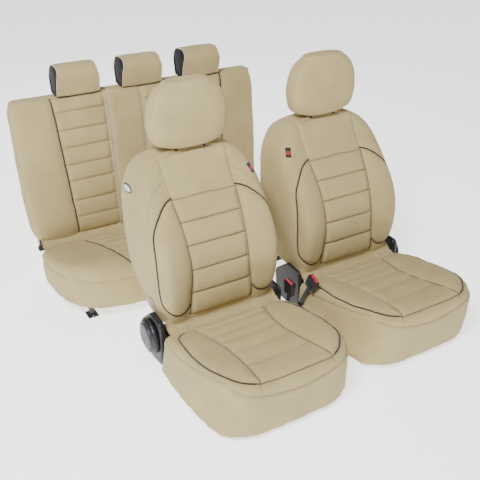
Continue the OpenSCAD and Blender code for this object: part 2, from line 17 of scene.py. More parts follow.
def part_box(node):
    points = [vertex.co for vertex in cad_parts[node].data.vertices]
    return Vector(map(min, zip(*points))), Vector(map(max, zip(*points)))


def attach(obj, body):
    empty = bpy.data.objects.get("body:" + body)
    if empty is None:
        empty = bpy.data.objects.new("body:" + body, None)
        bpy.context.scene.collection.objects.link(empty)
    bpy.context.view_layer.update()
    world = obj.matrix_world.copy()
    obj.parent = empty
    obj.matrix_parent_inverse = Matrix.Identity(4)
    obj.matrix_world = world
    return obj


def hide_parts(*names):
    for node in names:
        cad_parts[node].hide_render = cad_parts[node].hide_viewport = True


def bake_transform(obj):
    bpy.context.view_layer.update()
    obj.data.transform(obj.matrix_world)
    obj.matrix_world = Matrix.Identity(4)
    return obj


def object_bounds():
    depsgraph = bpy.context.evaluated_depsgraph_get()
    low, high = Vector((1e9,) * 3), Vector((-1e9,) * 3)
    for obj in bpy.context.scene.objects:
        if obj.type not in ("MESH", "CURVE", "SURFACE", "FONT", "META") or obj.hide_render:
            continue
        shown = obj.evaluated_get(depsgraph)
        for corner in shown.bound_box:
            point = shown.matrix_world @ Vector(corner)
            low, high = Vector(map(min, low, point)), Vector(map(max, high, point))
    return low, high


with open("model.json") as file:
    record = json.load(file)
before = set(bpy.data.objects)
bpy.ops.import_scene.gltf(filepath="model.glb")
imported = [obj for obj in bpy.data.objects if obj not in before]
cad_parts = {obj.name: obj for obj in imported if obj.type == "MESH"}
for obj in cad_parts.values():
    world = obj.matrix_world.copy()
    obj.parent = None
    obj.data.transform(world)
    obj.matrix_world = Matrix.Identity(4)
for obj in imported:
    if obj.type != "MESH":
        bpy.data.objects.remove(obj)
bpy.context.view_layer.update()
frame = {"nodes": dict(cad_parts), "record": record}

GRID = 0.0037          # distance between neighbouring points of a front cover
BENCH_GRID = 0.0048    # the same on the bench
SKIRT_LOW = -0.040     # lower edge of the front seats' skirts
PIPING_R = 0.0033      # thick dark piping round the side panels
CORD_R = 0.0017        # thin dark cord in a seam
STITCH_STEP = 0.0065   # distance between two stitches
STITCH_LONG = 0.0034
STITCH_R = 0.00045
SWELL_STEP = 3         # every third grid line takes part in the cloth simulation


# ---------------------------------------------------------------- numbers and curves

def profile(*knots):
    """A smooth function through (input, value) knots."""
    x, y = np.array(knots, float).T
    slope = np.gradient(y, x)

    def value(at):
        at = np.clip(at, x[0], x[-1])
        i = np.clip(np.searchsorted(x, at) - 1, 0, len(x) - 2)
        step = x[i + 1] - x[i]
        u = (at - x[i]) / step
        return ((2 * u**3 - 3 * u**2 + 1) * y[i] + (u**3 - 2 * u**2 + u) * step * slope[i]
                + (-2 * u**3 + 3 * u**2) * y[i + 1] + (u**3 - u**2) * step * slope[i + 1])

    return value


def spline(points, steps=12):
    """Points along a smooth curve through the given ones. steps is one number, or one for each stretch."""
    p = np.array(points, float)
    p = np.concatenate([2 * p[:1] - p[1:2], p, 2 * p[-1:] - p[-2:-1]])
    counts = [steps] * (len(p) - 3) if isinstance(steps, int) else steps
    out = []
    for k, count in enumerate(counts):
        a, b, c, d = p[k], p[k + 1], p[k + 2], p[k + 3]
        for t in np.linspace(0, 1, count, endpoint=False):
            out.append(0.5 * (2 * b + (c - a) * t + (2 * a - 5 * b + 4 * c - d) * t**2
                              + (3 * b - a - 3 * c + d) * t**3))
    return np.array(out + [p[-2]])


def lengths(points):
    """Distance along a line of points, from its start."""
    step = np.linalg.norm(np.diff(points, axis=0), axis=-1)
    return np.concatenate([np.zeros((1,) + step.shape[1:]), np.cumsum(step, axis=0)])


def evenly(points, spacing):
    """The same line with points about one spacing apart."""
    points = np.asarray(points, float)
    at = lengths(points)
    want = np.linspace(0, at[-1], max(2, int(round(at[-1] / spacing)) + 1))
    return np.stack([np.interp(want, at, points[:, k]) for k in range(points.shape[1])], axis=1)


def smooth(x, low, high):
    """0 below low, 1 above high, and a soft step between them."""
    u = np.clip((x - low) / (high - low), 0, 1)
    return u * u * (3 - 2 * u)


def gap_to(x, y, line):
    """Distance in a plane from each point (x, y) to a line of points."""
    best = np.full(np.shape(x), 1e9)
    for a, b in zip(line[:-1], line[1:]):
        d = b - a
        u = np.clip(((x - a[0]) * d[0] + (y - a[1]) * d[1]) / max(d @ d, 1e-12), 0, 1)
        best = np.minimum(best, (x - a[0] - u * d[0]) ** 2 + (y - a[1] - u * d[1]) ** 2)
    return np.sqrt(best)


def inside(x, y, ring):
    """Which points (x, y) lie inside a closed line of points."""
    found = np.zeros(np.shape(x), bool)
    for a, b in zip(ring, np.roll(ring, -1, axis=0)):
        if a[1] != b[1]:
            crosses = (a[1] > y) != (b[1] > y)
            found ^= crosses & (x < (b[0] - a[0]) * (y - a[1]) / (b[1] - a[1]) + a[0])
    return found


def mirrored(points):
    """Points (x, ...) on the other side of the middle."""
    return np.array(points, float) * ([-1] + [1] * (len(points[0]) - 1))


def unit(v):
    return v / np.maximum(np.linalg.norm(v, axis=-1, keepdims=True), 1e-12)


def ripples(p, size, seed):
    """Soft random unevenness, about -1 to 1, with waves of about the given size."""
    rng = np.random.default_rng(seed)
    total = np.zeros(len(p))
    for _ in range(7):
        way = unit(rng.normal(size=3)) * (2 * math.pi / size) * rng.uniform(0.6, 1.6)
        total += np.sin(p @ way + rng.uniform(0, 6.28))
    return total / 3.2


# ---------------------------------------------------------------- places

class Place:
    """Takes points of a seat's own frame to the row frame."""

    def __init__(self, origin, mirror=False):
        self.origin, self.mirror = np.array(origin, float), mirror

    def __call__(self, points):
        sign = [-1, 1, 1] if self.mirror else [1, 1, 1]
        return np.asarray(points, float) * sign + self.origin


def seat_place(side):
    low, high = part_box(side + "_cushion_cover")
    return Place(((low[0] + high[0]) / 2, high[1] - 0.060, low[2] - SKIRT_LOW), side == "left")


bench_low, bench_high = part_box("bench_cushion_cover")
bench_place = Place(((bench_low[0] + bench_high[0]) / 2, bench_high[1] - 1.000, bench_low[2]))


# ---------------------------------------------------------------- meshes

def add_mesh(name, points, faces, place, material, uv=None):
    """A smooth-shaded object. uv is one pair for each corner of each face."""
    data = bpy.data.meshes.new(name)
    if place.mirror:
        faces = [face[::-1] for face in faces]
    data.from_pydata(place(points).tolist(), [], faces)
    if uv is not None:
        if place.mirror:
            uv = uv.reshape(-1, 4, 2)[:, ::-1]
        data.uv_layers.new(name="cloth").data.foreach_set("uv", uv.astype(np.float32).ravel())
    data.shade_smooth()
    data.materials.append(material)
    piece = bpy.data.objects.new(name, data)
    bpy.context.scene.collection.objects.link(piece)
    return piece


def weld(piece):
    """Joins doubled points and drops the slivers between them."""
    work = bmesh.new()
    work.from_mesh(piece.data)
    bmesh.ops.remove_doubles(work, verts=work.verts, dist=2e-5)
    bmesh.ops.dissolve_degenerate(work, edges=work.edges, dist=1e-6)
    bmesh.ops.recalc_face_normals(work, faces=work.faces)
    work.to_mesh(piece.data)
    work.free()
    piece.data.shade_smooth()
    return piece


def grid_faces(index):
    """Quads of a grid of point numbers."""
    return np.stack([index[:-1, :-1], index[:-1, 1:], index[1:, 1:], index[1:, :-1]], axis=-1).reshape(-1, 4)


class Skin:
    """A cover's skin: points that one or more grids share, each grid with the cloth's flat coordinates."""

    def __init__(self, points, grids):
        self.p = np.asarray(points, float)
        self.grids = grids          # pairs of point numbers (rows, columns) and flat (rows, columns, 2)
        self.quads = np.vstack([grid_faces(index) for index, _ in grids])

    def normals(self):
        a, b, c, d = (self.p[self.quads[:, k]] for k in range(4))
        face = np.cross(c - a, d - b)
        total = np.zeros_like(self.p)
        for k in range(4):
            np.add.at(total, self.quads[:, k], face)
        return unit(total)

    def push(self, amount):
        self.p = self.p + self.normals() * np.asarray(amount)[:, None]

    def tree(self):
        return BVHTree.FromPolygons(self.p.tolist(), self.quads.tolist())

    def sew(self, paths, depth, width):
        """Pulls the cloth in along seams."""
        best = np.full(len(self.p), 1e9)
        for path in paths:
            path = evenly(path, 0.002)
            low, high = path.min(axis=0) - 3 * width, path.max(axis=0) + 3 * width
            near = np.all((self.p > low) & (self.p < high), axis=1)
            which = np.nonzero(near)[0]
            for part in np.array_split(which, max(1, len(which) // 4000)):
                d = np.linalg.norm(self.p[part][:, None] - path[None], axis=2).min(axis=1)
                best[part] = np.minimum(best[part], d)
        self.push(-depth * np.exp(-(best / width) ** 2))

    def swell(self, held, limit, air=4.0):
        """Cloth simulation: the skin swells like a filled cover. held is 1 where it stays, 0 where free."""
        coarse = [index[::SWELL_STEP, ::SWELL_STEP] for index, _ in self.grids]
        used = np.unique(np.concatenate([index.ravel() for index in coarse]))
        number = np.full(len(self.p), -1)
        number[used] = np.arange(len(used))
        faces = number[np.vstack([grid_faces(index) for index in coarse])]
        faces = [f for f in faces.tolist() if len(set(f)) == 4]
        data = bpy.data.meshes.new("swell")
        data.from_pydata(self.p[used].tolist(), [], faces)
        body = bpy.data.objects.new("swell", data)
        bpy.context.scene.collection.objects.link(body)
        group = body.vertex_groups.new(name="held")
        for number_in_mesh, weight in enumerate(held[used].tolist()):
            group.add([number_in_mesh], weight, "REPLACE")
        cloth = body.modifiers.new("cloth", "CLOTH")
        cloth.settings.quality = 6
        cloth.settings.mass = 0.4
        cloth.settings.tension_stiffness = cloth.settings.compression_stiffness = 18
        cloth.settings.shear_stiffness = 8
        cloth.settings.bending_stiffness = 1.0
        cloth.settings.vertex_group_mass = "held"
        cloth.settings.use_pressure = True
        cloth.settings.uniform_pressure_force = air
        cloth.settings.effector_weights.gravity = 0
        cloth.point_cache.frame_end = 20
        for count in range(1, 21):
            bpy.context.scene.frame_set(count)
        after = body.evaluated_get(bpy.context.evaluated_depsgraph_get()).to_mesh()
        moved = np.zeros(len(used) * 3)
        after.vertices.foreach_get("co", moved)
        moved = moved.reshape(-1, 3) - self.p[used]
        size = np.linalg.norm(moved, axis=1, keepdims=True)
        moved *= np.minimum(1, limit / np.maximum(size, 1e-9))
        bpy.context.scene.frame_set(1)
        bpy.data.objects.remove(body)
        everywhere = np.zeros_like(self.p)
        for (index, _), small in zip(self.grids, coarse):
            step = moved[number[small]]
            everywhere[index] = stretch_grid(step, index.shape)
        self.p = self.p + everywhere

    def mesh(self, name, place, material):
        corners = [(flat[:-1, :-1], flat[:-1, 1:], flat[1:, 1:], flat[1:, :-1]) for _, flat in self.grids]
        uv = np.vstack([np.stack(four, axis=2).reshape(-1, 2) for four in corners])
        return weld(add_mesh(name, self.p, self.quads.tolist(), place, material, uv))


def stretch_grid(small, shape):
    """Values of every third grid line, filled in for all lines."""
    rows = np.minimum(np.arange(shape[0]) / SWELL_STEP, small.shape[0] - 1.001)
    columns = np.minimum(np.arange(shape[1]) / SWELL_STEP, small.shape[1] - 1.001)
    r, c = rows.astype(int), columns.astype(int)
    fr, fc = (rows - r)[:, None, None], (columns - c)[None, :, None]
    return ((small[r][:, c] * (1 - fc) + small[r][:, c + 1] * fc) * (1 - fr)
            + (small[r + 1][:, c] * (1 - fc) + small[r + 1][:, c + 1] * fc) * fr)


def third(count):
    """The next number of grid lines that every third one ends on."""
    return int(math.ceil((count - 1) / SWELL_STEP)) * SWELL_STEP + 1


def tube(path, radius, sides=8):
    """Points and faces of a tube along a path, with rounded ends."""
    path = np.asarray(path, float)
    ahead = unit(np.gradient(path, axis=0))
    radius = np.broadcast_to(radius, len(path))
    side = unit(np.cross(ahead[0], [0.31, 0.52, 0.79]))
    turn = np.linspace(0, 2 * math.pi, sides, endpoint=False)
    rings = []
    for forward in ahead:
        side = unit(side - forward * (side @ forward))
        rings.append(np.cos(turn)[:, None] * side + np.sin(turn)[:, None] * np.cross(forward, side))
    points = path[:, None] + np.array(rings) * radius[:, None, None]
    ends = np.array([path[0] - ahead[0] * radius[0] * 0.6, path[-1] + ahead[-1] * radius[-1] * 0.6])
    index = np.arange(len(path) * sides).reshape(len(path), sides)
    index = np.hstack([index, index[:, :1]])
    faces = grid_faces(index).tolist()
    first, last = len(path) * sides, len(path) * sides + 1
    faces += [[a, b, first] for a, b in zip(index[0, 1:].tolist(), index[0, :-1].tolist())]
    faces += [[a, b, last] for a, b in zip(index[-1, :-1].tolist(), index[-1, 1:].tolist())]
    return np.vstack([points.reshape(-1, 3), ends]), faces


def join(parts):
    """Several (points, faces) as one."""
    points, faces, start = [], [], 0
    for p, f in parts:
        points.append(p)
        faces += [[i + start for i in face] for face in f]
        start += len(p)
    return np.vstack(points), faces


def lay(tree, line, ray, lift=0.0):
    """Drops a line onto a skin along a ray direction, and lifts it along the skin's normal."""
    out = []
    ray = Vector(ray)
    for point in np.asarray(line, float):
        spot, normal, _, _ = tree.ray_cast(Vector(point) - ray, ray)
        if spot is not None:
            if normal.dot(ray) > 0:
                normal = -normal
            out.append(np.array(spot) + np.array(normal) * lift)
    return np.array(out)


def calm(path, rounds=2):
    """A laid line with its small bumps evened out."""
    path = path.copy()
    for _ in range(rounds):
        path[1:-1] = 0.25 * path[:-2] + 0.5 * path[1:-1] + 0.25 * path[2:]
    return path


def front_line(points):
    """(x, z) points as a line in front of a backrest, for a ray along +Y."""
    return np.array([(x, 0.0, z) for x, z in evenly(spline(points), 0.004)])


def top_line(points):
    """(x, y) points as a line over a cushion, for a ray along -Z."""
    return np.array([(x, y, 0.0) for x, y in evenly(spline(points), 0.004)])


def stitches(tree, paths, offset, way):
    """Small raised stitches beside seams. way is the direction the skin faces there."""
    parts = []
    for path in paths:
        path = evenly(path, STITCH_STEP)
        if len(path) < 3:
            continue
        ahead = unit(np.gradient(path, axis=0))
        side = unit(np.cross(ahead, way))
        for here, forward, aside in zip(path, ahead, side):
            centre = Vector(here + aside * offset)
            spot, normal, _, gap = tree.find_nearest(centre, 0.02)
            if spot is None:
                continue
            middle = np.array(spot) + np.array(normal) * STITCH_R * 0.5
            reach = forward * STITCH_LONG / 2
            thick = STITCH_R * np.array([0.6, 1, 0.6])
            parts.append(tube([middle - reach, middle, middle + reach], thick, 4))
    return parts


# ---------------------------------------------------------------- materials

def material(name, colour, rough, metal=0.0, **sockets):
    made = bpy.data.materials.new(name)
    made.use_nodes = True
    shader = made.node_tree.nodes["Principled BSDF"]
    shader.inputs["Base Color"].default_value = (*colour, 1)
    shader.inputs["Roughness"].default_value = rough
    shader.inputs["Metallic"].default_value = metal
    for socket, value in sockets.items():
        shader.inputs[socket.replace("_", " ")].default_value = value
    return made


class Nodes:
    """Short calls for building a material's nodes."""

    def __init__(self, made):
        self.tree = made.node_tree
        self.shader = self.tree.nodes["Principled BSDF"]
        self.where = self.tree.nodes.new("ShaderNodeTexCoord").outputs["Object"]

    def add(self, kind, values=(), links=()):
        node = self.tree.nodes.new("ShaderNode" + kind)
        for socket, value in dict(values).items():
            if socket in node.inputs:
                node.inputs[socket].default_value = value
            else:
                setattr(node, socket, value)
        for socket, source in dict(links).items():
            self.tree.links.new(source, node.inputs[socket])
        return node

    def noise(self, scale, detail=2.0, where=None):
        values = {"Scale": scale, "Detail": detail}
        return self.add("TexNoise", values, {"Vector": where or self.where}).outputs[0]

    def span(self, value, low, high):
        """Maps 0..1 to low..high."""
        return self.add("MapRange", {"To Min": low, "To Max": high}, {"Value": value}).outputs[0]

    def math(self, operation, a, b):
        node = self.tree.nodes.new("ShaderNodeMath")
        node.operation = operation
        for socket, value in zip(node.inputs, (a, b)):
            if isinstance(value, (int, float)):
                socket.default_value = value
            else:
                self.tree.links.new(value, socket)
        return node.outputs[0]

    def shades(self, value, *stops):
        """Colours along a value: stops are (place, colour)."""
        node = self.tree.nodes.new("ShaderNodeValToRGB")
        while len(node.color_ramp.elements) < len(stops):
            node.color_ramp.elements.new(0.5)
        for element, (place, colour) in zip(node.color_ramp.elements, stops):
            element.position, element.color = place, (*colour, 1)
        self.tree.links.new(value, node.inputs[0])
        return node.outputs[0]

    def put(self, socket, source):
        self.tree.links.new(source, self.shader.inputs[socket])

    def bump(self, height, distance, strength=1.0):
        node = self.add("Bump", {"Strength": strength, "Distance": distance}, {"Height": height})
        self.put("Normal", node.outputs[0])


def tint(colour, amount):
    return tuple(c * amount for c in colour)


CLOTH = (0.438, 0.352, 0.172)


def knitted_cloth(name, colour, pitch=0.0016):
    """Fine ribbed knit with random mottling and a soft sheen."""
    made = material(name, colour, 0.9, Sheen_Weight=0.12, Sheen_Roughness=0.5, Specular_IOR_Level=0.15)
    made.node_tree.nodes["Principled BSDF"].inputs["Sheen Tint"].default_value = (0.95, 0.9, 0.8, 1)
    n = Nodes(made)
    flat = n.tree.nodes.new("ShaderNodeUVMap")
    flat.uv_map = "cloth"
    turn = 2 * math.pi / pitch
    split = n.add("SeparateXYZ", links={"Vector": flat.outputs[0]})
    across = n.math("SINE", n.math("MULTIPLY", split.outputs[0], turn), 0.0)
    along = n.math("SINE", n.math("MULTIPLY", split.outputs[1], turn * 0.8), 0.0)
    weave = n.span(n.math("MULTIPLY", across, along), 0.0, 1.0)
    patches = n.noise(9.0, 3.0)
    fluff = n.noise(900.0, 2.0)
    cast = n.math("ADD", n.math("MULTIPLY", patches, 0.7), n.math("MULTIPLY", fluff, 0.3))
    n.put("Base Color", n.shades(cast, (0.3, tint(colour, 0.9)), (0.52, colour), (0.75, tint(colour, 1.1))))
    n.put("Roughness", n.span(patches, 0.82, 0.97))
    n.bump(n.math("ADD", weave, n.math("MULTIPLY", fluff, 0.8)), 0.00035, 0.5)
    return made


def cord_cloth(name, colour):
    """Twisted piping cord."""
    made = material(name, colour, 0.7, Sheen_Weight=0.3, Specular_IOR_Level=0.3)
    n = Nodes(made)
    twist = n.noise(700.0, 3.0)
    n.put("Base Color", n.shades(twist, (0.3, tint(colour, 0.6)), (0.7, tint(colour, 1.5))))
    n.put("Roughness", n.span(n.noise(60.0), 0.55, 0.85))
    n.bump(twist, 0.0004, 0.6)
    return made


def grained_plastic(name, colour, rough, grain=900.0, depth=0.00015, coat=0.0):
    """Moulded plastic with fine grain, rubbed smoother and lighter in places."""
    made = material(name, colour, rough, Coat_Weight=coat, Coat_Roughness=0.2, Specular_IOR_Level=0.5)
    n = Nodes(made)
    worn = n.noise(14.0, 4.0)
    pits = n.noise(grain, 3.0)
    n.put("Base Color", n.shades(worn, (0.35, tint(colour, 0.8)), (0.7, tint(colour, 1.35))))
    n.put("Roughness", n.span(worn, rough - 0.09, rough + 0.12))
    n.bump(pits, depth, 0.7)
    return made


def metal(name, colour, rough, brushed=False, coat=0.0):
    """Bare or plated steel with faint marks."""
    made = material(name, colour, rough, 1.0, Coat_Weight=coat)
    n = Nodes(made)
    scale = (1, 1, 40) if brushed else (1, 1, 1)
    stretched = n.add("Mapping", {"Scale": scale}, {"Vector": n.where}).outputs[0]
    marks = n.noise(60.0, 5.0, stretched)
    n.put("Base Color", n.shades(marks, (0.3, tint(colour, 0.86)), (0.7, tint(colour, 1.08))))
    n.put("Roughness", n.span(marks, rough * 0.7, rough * 1.5))
    n.bump(marks, 0.00004, 0.4)
    return made


def foam_material():
    colour = (0.62, 0.54, 0.33)
    made = material("foam", colour, 0.95, Sheen_Weight=0.2)
    n = Nodes(made)
    cells = n.add("TexVoronoi", {"Scale": 420.0}, {"Vector": n.where}).outputs["Distance"]
    n.put("Base Color", n.shades(n.noise(8.0, 4.0), (0.3, tint(colour, 0.85)), (0.7, tint(colour, 1.12))))
    n.put("Roughness", n.span(cells, 0.85, 1.0))
    n.bump(cells, 0.0008, 0.8)
    return made


def ribbed_tape(name, colour, pitch):
    """Woven tape with fine cross ribs."""
    made = material(name, colour, 0.8, Sheen_Weight=0.25)
    n = Nodes(made)
    ribs = n.add("TexWave", {"Scale": 1 / pitch / 6.28, "Distortion": 1.0, "bands_direction": "Z"},
                 {"Vector": n.where}).outputs["Fac"]
    n.put("Base Color", n.shades(ribs, (0.2, tint(colour, 0.75)), (0.8, tint(colour, 1.15))))
    n.put("Roughness", n.span(ribs, 0.7, 0.9))
    n.bump(ribs, 0.0003, 0.8)
    return made


finish = {
    "cover_cloth": knitted_cloth("cover_cloth", CLOTH),
    "insert_thread": cord_cloth("insert_thread", (0.10, 0.062, 0.030)),
    "stitch_thread": cord_cloth("stitch_thread", (0.33, 0.255, 0.135)),
    "piping_cord": cord_cloth("piping_cord", (0.03, 0.021, 0.013)),
    "foam": foam_material(),
    "pad_cloth": knitted_cloth("pad_cloth", (0.008, 0.009, 0.016)),
    "tag_cloth": ribbed_tape("tag_cloth", (0.02, 0.008, 0.012), 0.0008),
    "tag_red": ribbed_tape("tag_red", (0.35, 0.02, 0.03), 0.0008),
    "label_cloth": ribbed_tape("label_cloth", (0.24, 0.24, 0.25), 0.001),
    "zip_tape": ribbed_tape("zip_tape", (0.56, 0.47, 0.30), 0.0012),
    "zip_coil": grained_plastic("zip_coil", (0.58, 0.50, 0.34), 0.45),
    "black_steel": grained_plastic("black_steel", (0.018, 0.018, 0.021), 0.38, 240.0, 0.0001, 0.2),
    "zinc_steel": metal("zinc_steel", (0.56, 0.57, 0.6), 0.34, brushed=True),
    "chrome_post": metal("chrome_post", (0.74, 0.75, 0.78), 0.08),
    "black_plastic": grained_plastic("black_plastic", (0.008, 0.009, 0.013), 0.46),
    "wheel_plastic": grained_plastic("wheel_plastic", (0.010, 0.011, 0.016), 0.42),
    "wheel_face": grained_plastic("wheel_face", (0.014, 0.015, 0.021), 0.42, 500.0, 0.0001, 0.1),
    "red_plastic": grained_plastic("red_plastic", (0.62, 0.02, 0.05), 0.22, 1500.0, 0.00003, 0.5),
    "badge": grained_plastic("badge", (0.75, 0.74, 0.7), 0.25, 1500.0, 0.00003, 0.4),
    "badge_rim": grained_plastic("badge_rim", (0.03, 0.03, 0.035), 0.3),
}

# ---------------------------------------------------------------- joining a cover's pieces

def own(piece, body, replaces=()):
    """Every piece rides on a body; the CAD parts that it replaces are hidden."""
    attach(piece, body)
    if replaces:
        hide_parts(*replaces)
    return piece


def trim_piece(name, parts, place, finish_name, body):
    points, faces = join(parts)
    return own(add_mesh(name, points, faces, place, finish[finish_name]), body)


def foam_block(skin, name, place, body, replaces, inset=0.012, lowest=-1.0):
    """The foam under a skin, above the height lowest: a coarse copy of it, drawn in."""
    coarse = [index[::2 * SWELL_STEP, ::2 * SWELL_STEP] for index, _ in skin.grids]
    if any((index.shape[0] - 1) % (2 * SWELL_STEP) for index, _ in skin.grids):
        coarse = [index[::SWELL_STEP, ::SWELL_STEP] for index, _ in skin.grids]
    inner = skin.p - skin.normals() * inset
    inner = np.clip(inner, skin.p.min(axis=0) + 0.6 * inset, skin.p.max(axis=0) - 0.6 * inset)
    coarse = [index[skin.p[index, 2].max(axis=1) > lowest] for index in coarse]
    used = np.unique(np.concatenate([index.ravel() for index in coarse]))
    number = np.full(len(inner), -1)
    number[used] = np.arange(len(used))
    faces = number[np.vstack([grid_faces(index) for index in coarse])].tolist()
    piece = weld(add_mesh(name, inner[used], faces, place, finish["foam"]))
    close_holes(piece)
    return own(piece, body, replaces)


def close_holes(piece):
    work = bmesh.new()
    work.from_mesh(piece.data)
    bmesh.ops.holes_fill(work, edges=work.edges, sides=0)
    bmesh.ops.recalc_face_normals(work, faces=work.faces)
    work.to_mesh(piece.data)
    work.free()


# ---------------------------------------------------------------- front backrest

BACK_FRONT = profile((0.122, 0.101), (0.180, 0.091), (0.270, 0.089), (0.363, 0.094), (0.464, 0.123),
                     (0.551, 0.171), (0.633, 0.232), (0.742, 0.310), (0.784, 0.338), (0.803, 0.358))
BACK_REAR = profile((0.122, 0.290), (0.165, 0.328), (0.250, 0.376), (0.400, 0.416), (0.560, 0.438),
                    (0.700, 0.450), (0.772, 0.452), (0.803, 0.428))
BACK_BOLSTER = profile((0.122, 0.004), (0.180, 0.010), (0.270, 0.023), (0.551, 0.024), (0.633, 0.017),
                       (0.742, 0.006), (0.803, 0.0))
BACK_INSERT = profile((0.122, 0.150), (0.200, 0.150), (0.258, 0.143), (0.363, 0.135), (0.464, 0.137),
                      (0.551, 0.142), (0.633, 0.150), (0.803, 0.160))
BACK_SEAMS = (0.150, 0.258, 0.363, 0.464, 0.551, 0.633)     # heights of the seams across the insert
BACK_TOP_SEAM = 0.786
WING = [(0.150, 0.640), (0.190, 0.628), (0.225, 0.603), (0.255, 0.571), (0.274, 0.524), (0.283, 0.436),
        (0.283, 0.330), (0.276, 0.250), (0.262, 0.207), (0.232, 0.178), (0.200, 0.171), (0.172, 0.182),
        (0.152, 0.206)]


def back_section(width, front, rear, bolster, insert):
    """Half a level section of the backrest, from the middle of its front to the middle of its rear."""
    deep = rear - front
    s = min(1.0, deep / 0.25, width / 0.2)
    h = min(insert, 0.6 * width)
    b = bolster * s
    return [(0, front), (0.5 * h, front), (h, front + 0.002), (h + 0.35 * (width - h), front - 0.75 * b),
            (h + 0.72 * (width - h), front - b + 0.004 * s), (width - 0.010 * s, front + 0.028 * s),
            (width + 0.001, front + 0.075 * s), (width + 0.002 * s, front + 0.6 * deep),
            (width - 0.001 * s, rear - 0.026 * s), (width - 0.022 * s, rear - 0.001 * s),
            (0.5 * (width - 0.05 * s), rear + 0.002 * s), (0, rear + 0.003 * s)]


def loft(rows, counts, cap_low, cap_high):
    """A skin through level sections. rows are (section, height); each section is half of a mirrored ring."""
    rings = []
    for section, height in rows:
        half = spline(section, counts)
        half[0, 0] = half[-1, 0] = 0.0
        ring = np.vstack([mirrored(half[::-1]), half[1:]])
        rings.append(np.column_stack([ring, np.full(len(ring), height)]))
    rings = np.array(rings)
    below = [shrunk(rings[0], k, -cap_low * math.cos(math.asin(k))) for k in np.sin(np.linspace(0, 1.45, 12))]
    above = [shrunk(rings[-1], k, cap_high * math.cos(math.asin(k)))
             for k in np.sin(np.linspace(1.45, 0, 12))]
    return np.array(below + list(rings) + above)


def shrunk(ring, scale, rise):
    middle = ring.mean(axis=0)
    return middle + (ring - middle) * [scale, scale, 1] + [0, 0, rise]


def skin_of(rings):
    """A skin of closed rings, with the flat coordinates measured along them."""
    rows, columns = third(len(rings)), third(rings.shape[1])
    rings = resample(rings, rows, columns)
    across = lengths(rings.transpose(1, 0, 2)).T
    across -= across[:, [columns // 2]]
    along = np.broadcast_to(lengths(rings).mean(axis=1, keepdims=True), across.shape)
    index = np.arange(rows * columns).reshape(rows, columns)
    index[:, -1] = index[:, 0]
    return Skin(rings.reshape(-1, 3), [(index, np.stack([across, along], axis=2))])


def resample(grid, rows, columns):
    """The same grid of points with other numbers of lines, evenly in its own numbering."""
    r = np.linspace(0, len(grid) - 1.000001, rows)
    c = np.linspace(0, grid.shape[1] - 1.000001, columns)
    i, j = r.astype(int), c.astype(int)
    fr, fc = (r - i)[:, None, None], (c - j)[None, :, None]
    i1, j1 = np.minimum(i + 1, len(grid) - 1), np.minimum(j + 1, grid.shape[1] - 1)
    return ((grid[i][:, j] * (1 - fc) + grid[i][:, j1] * fc) * (1 - fr)
            + (grid[i1][:, j] * (1 - fc) + grid[i1][:, j1] * fc) * fr)


def rib_puff(at, seams, sag=0.72, power=0.62):
    """0 on each seam and 1 between two. A sag below 1 moves the crest towards the lower seam."""
    out = np.zeros_like(at)
    for low, high in zip(seams[:-1], seams[1:]):
        u = (at - low) / (high - low)
        inside_rib = (u > 0) & (u < 1)
        out[inside_rib] = np.sin(math.pi * u[inside_rib] ** sag) ** power
    return out


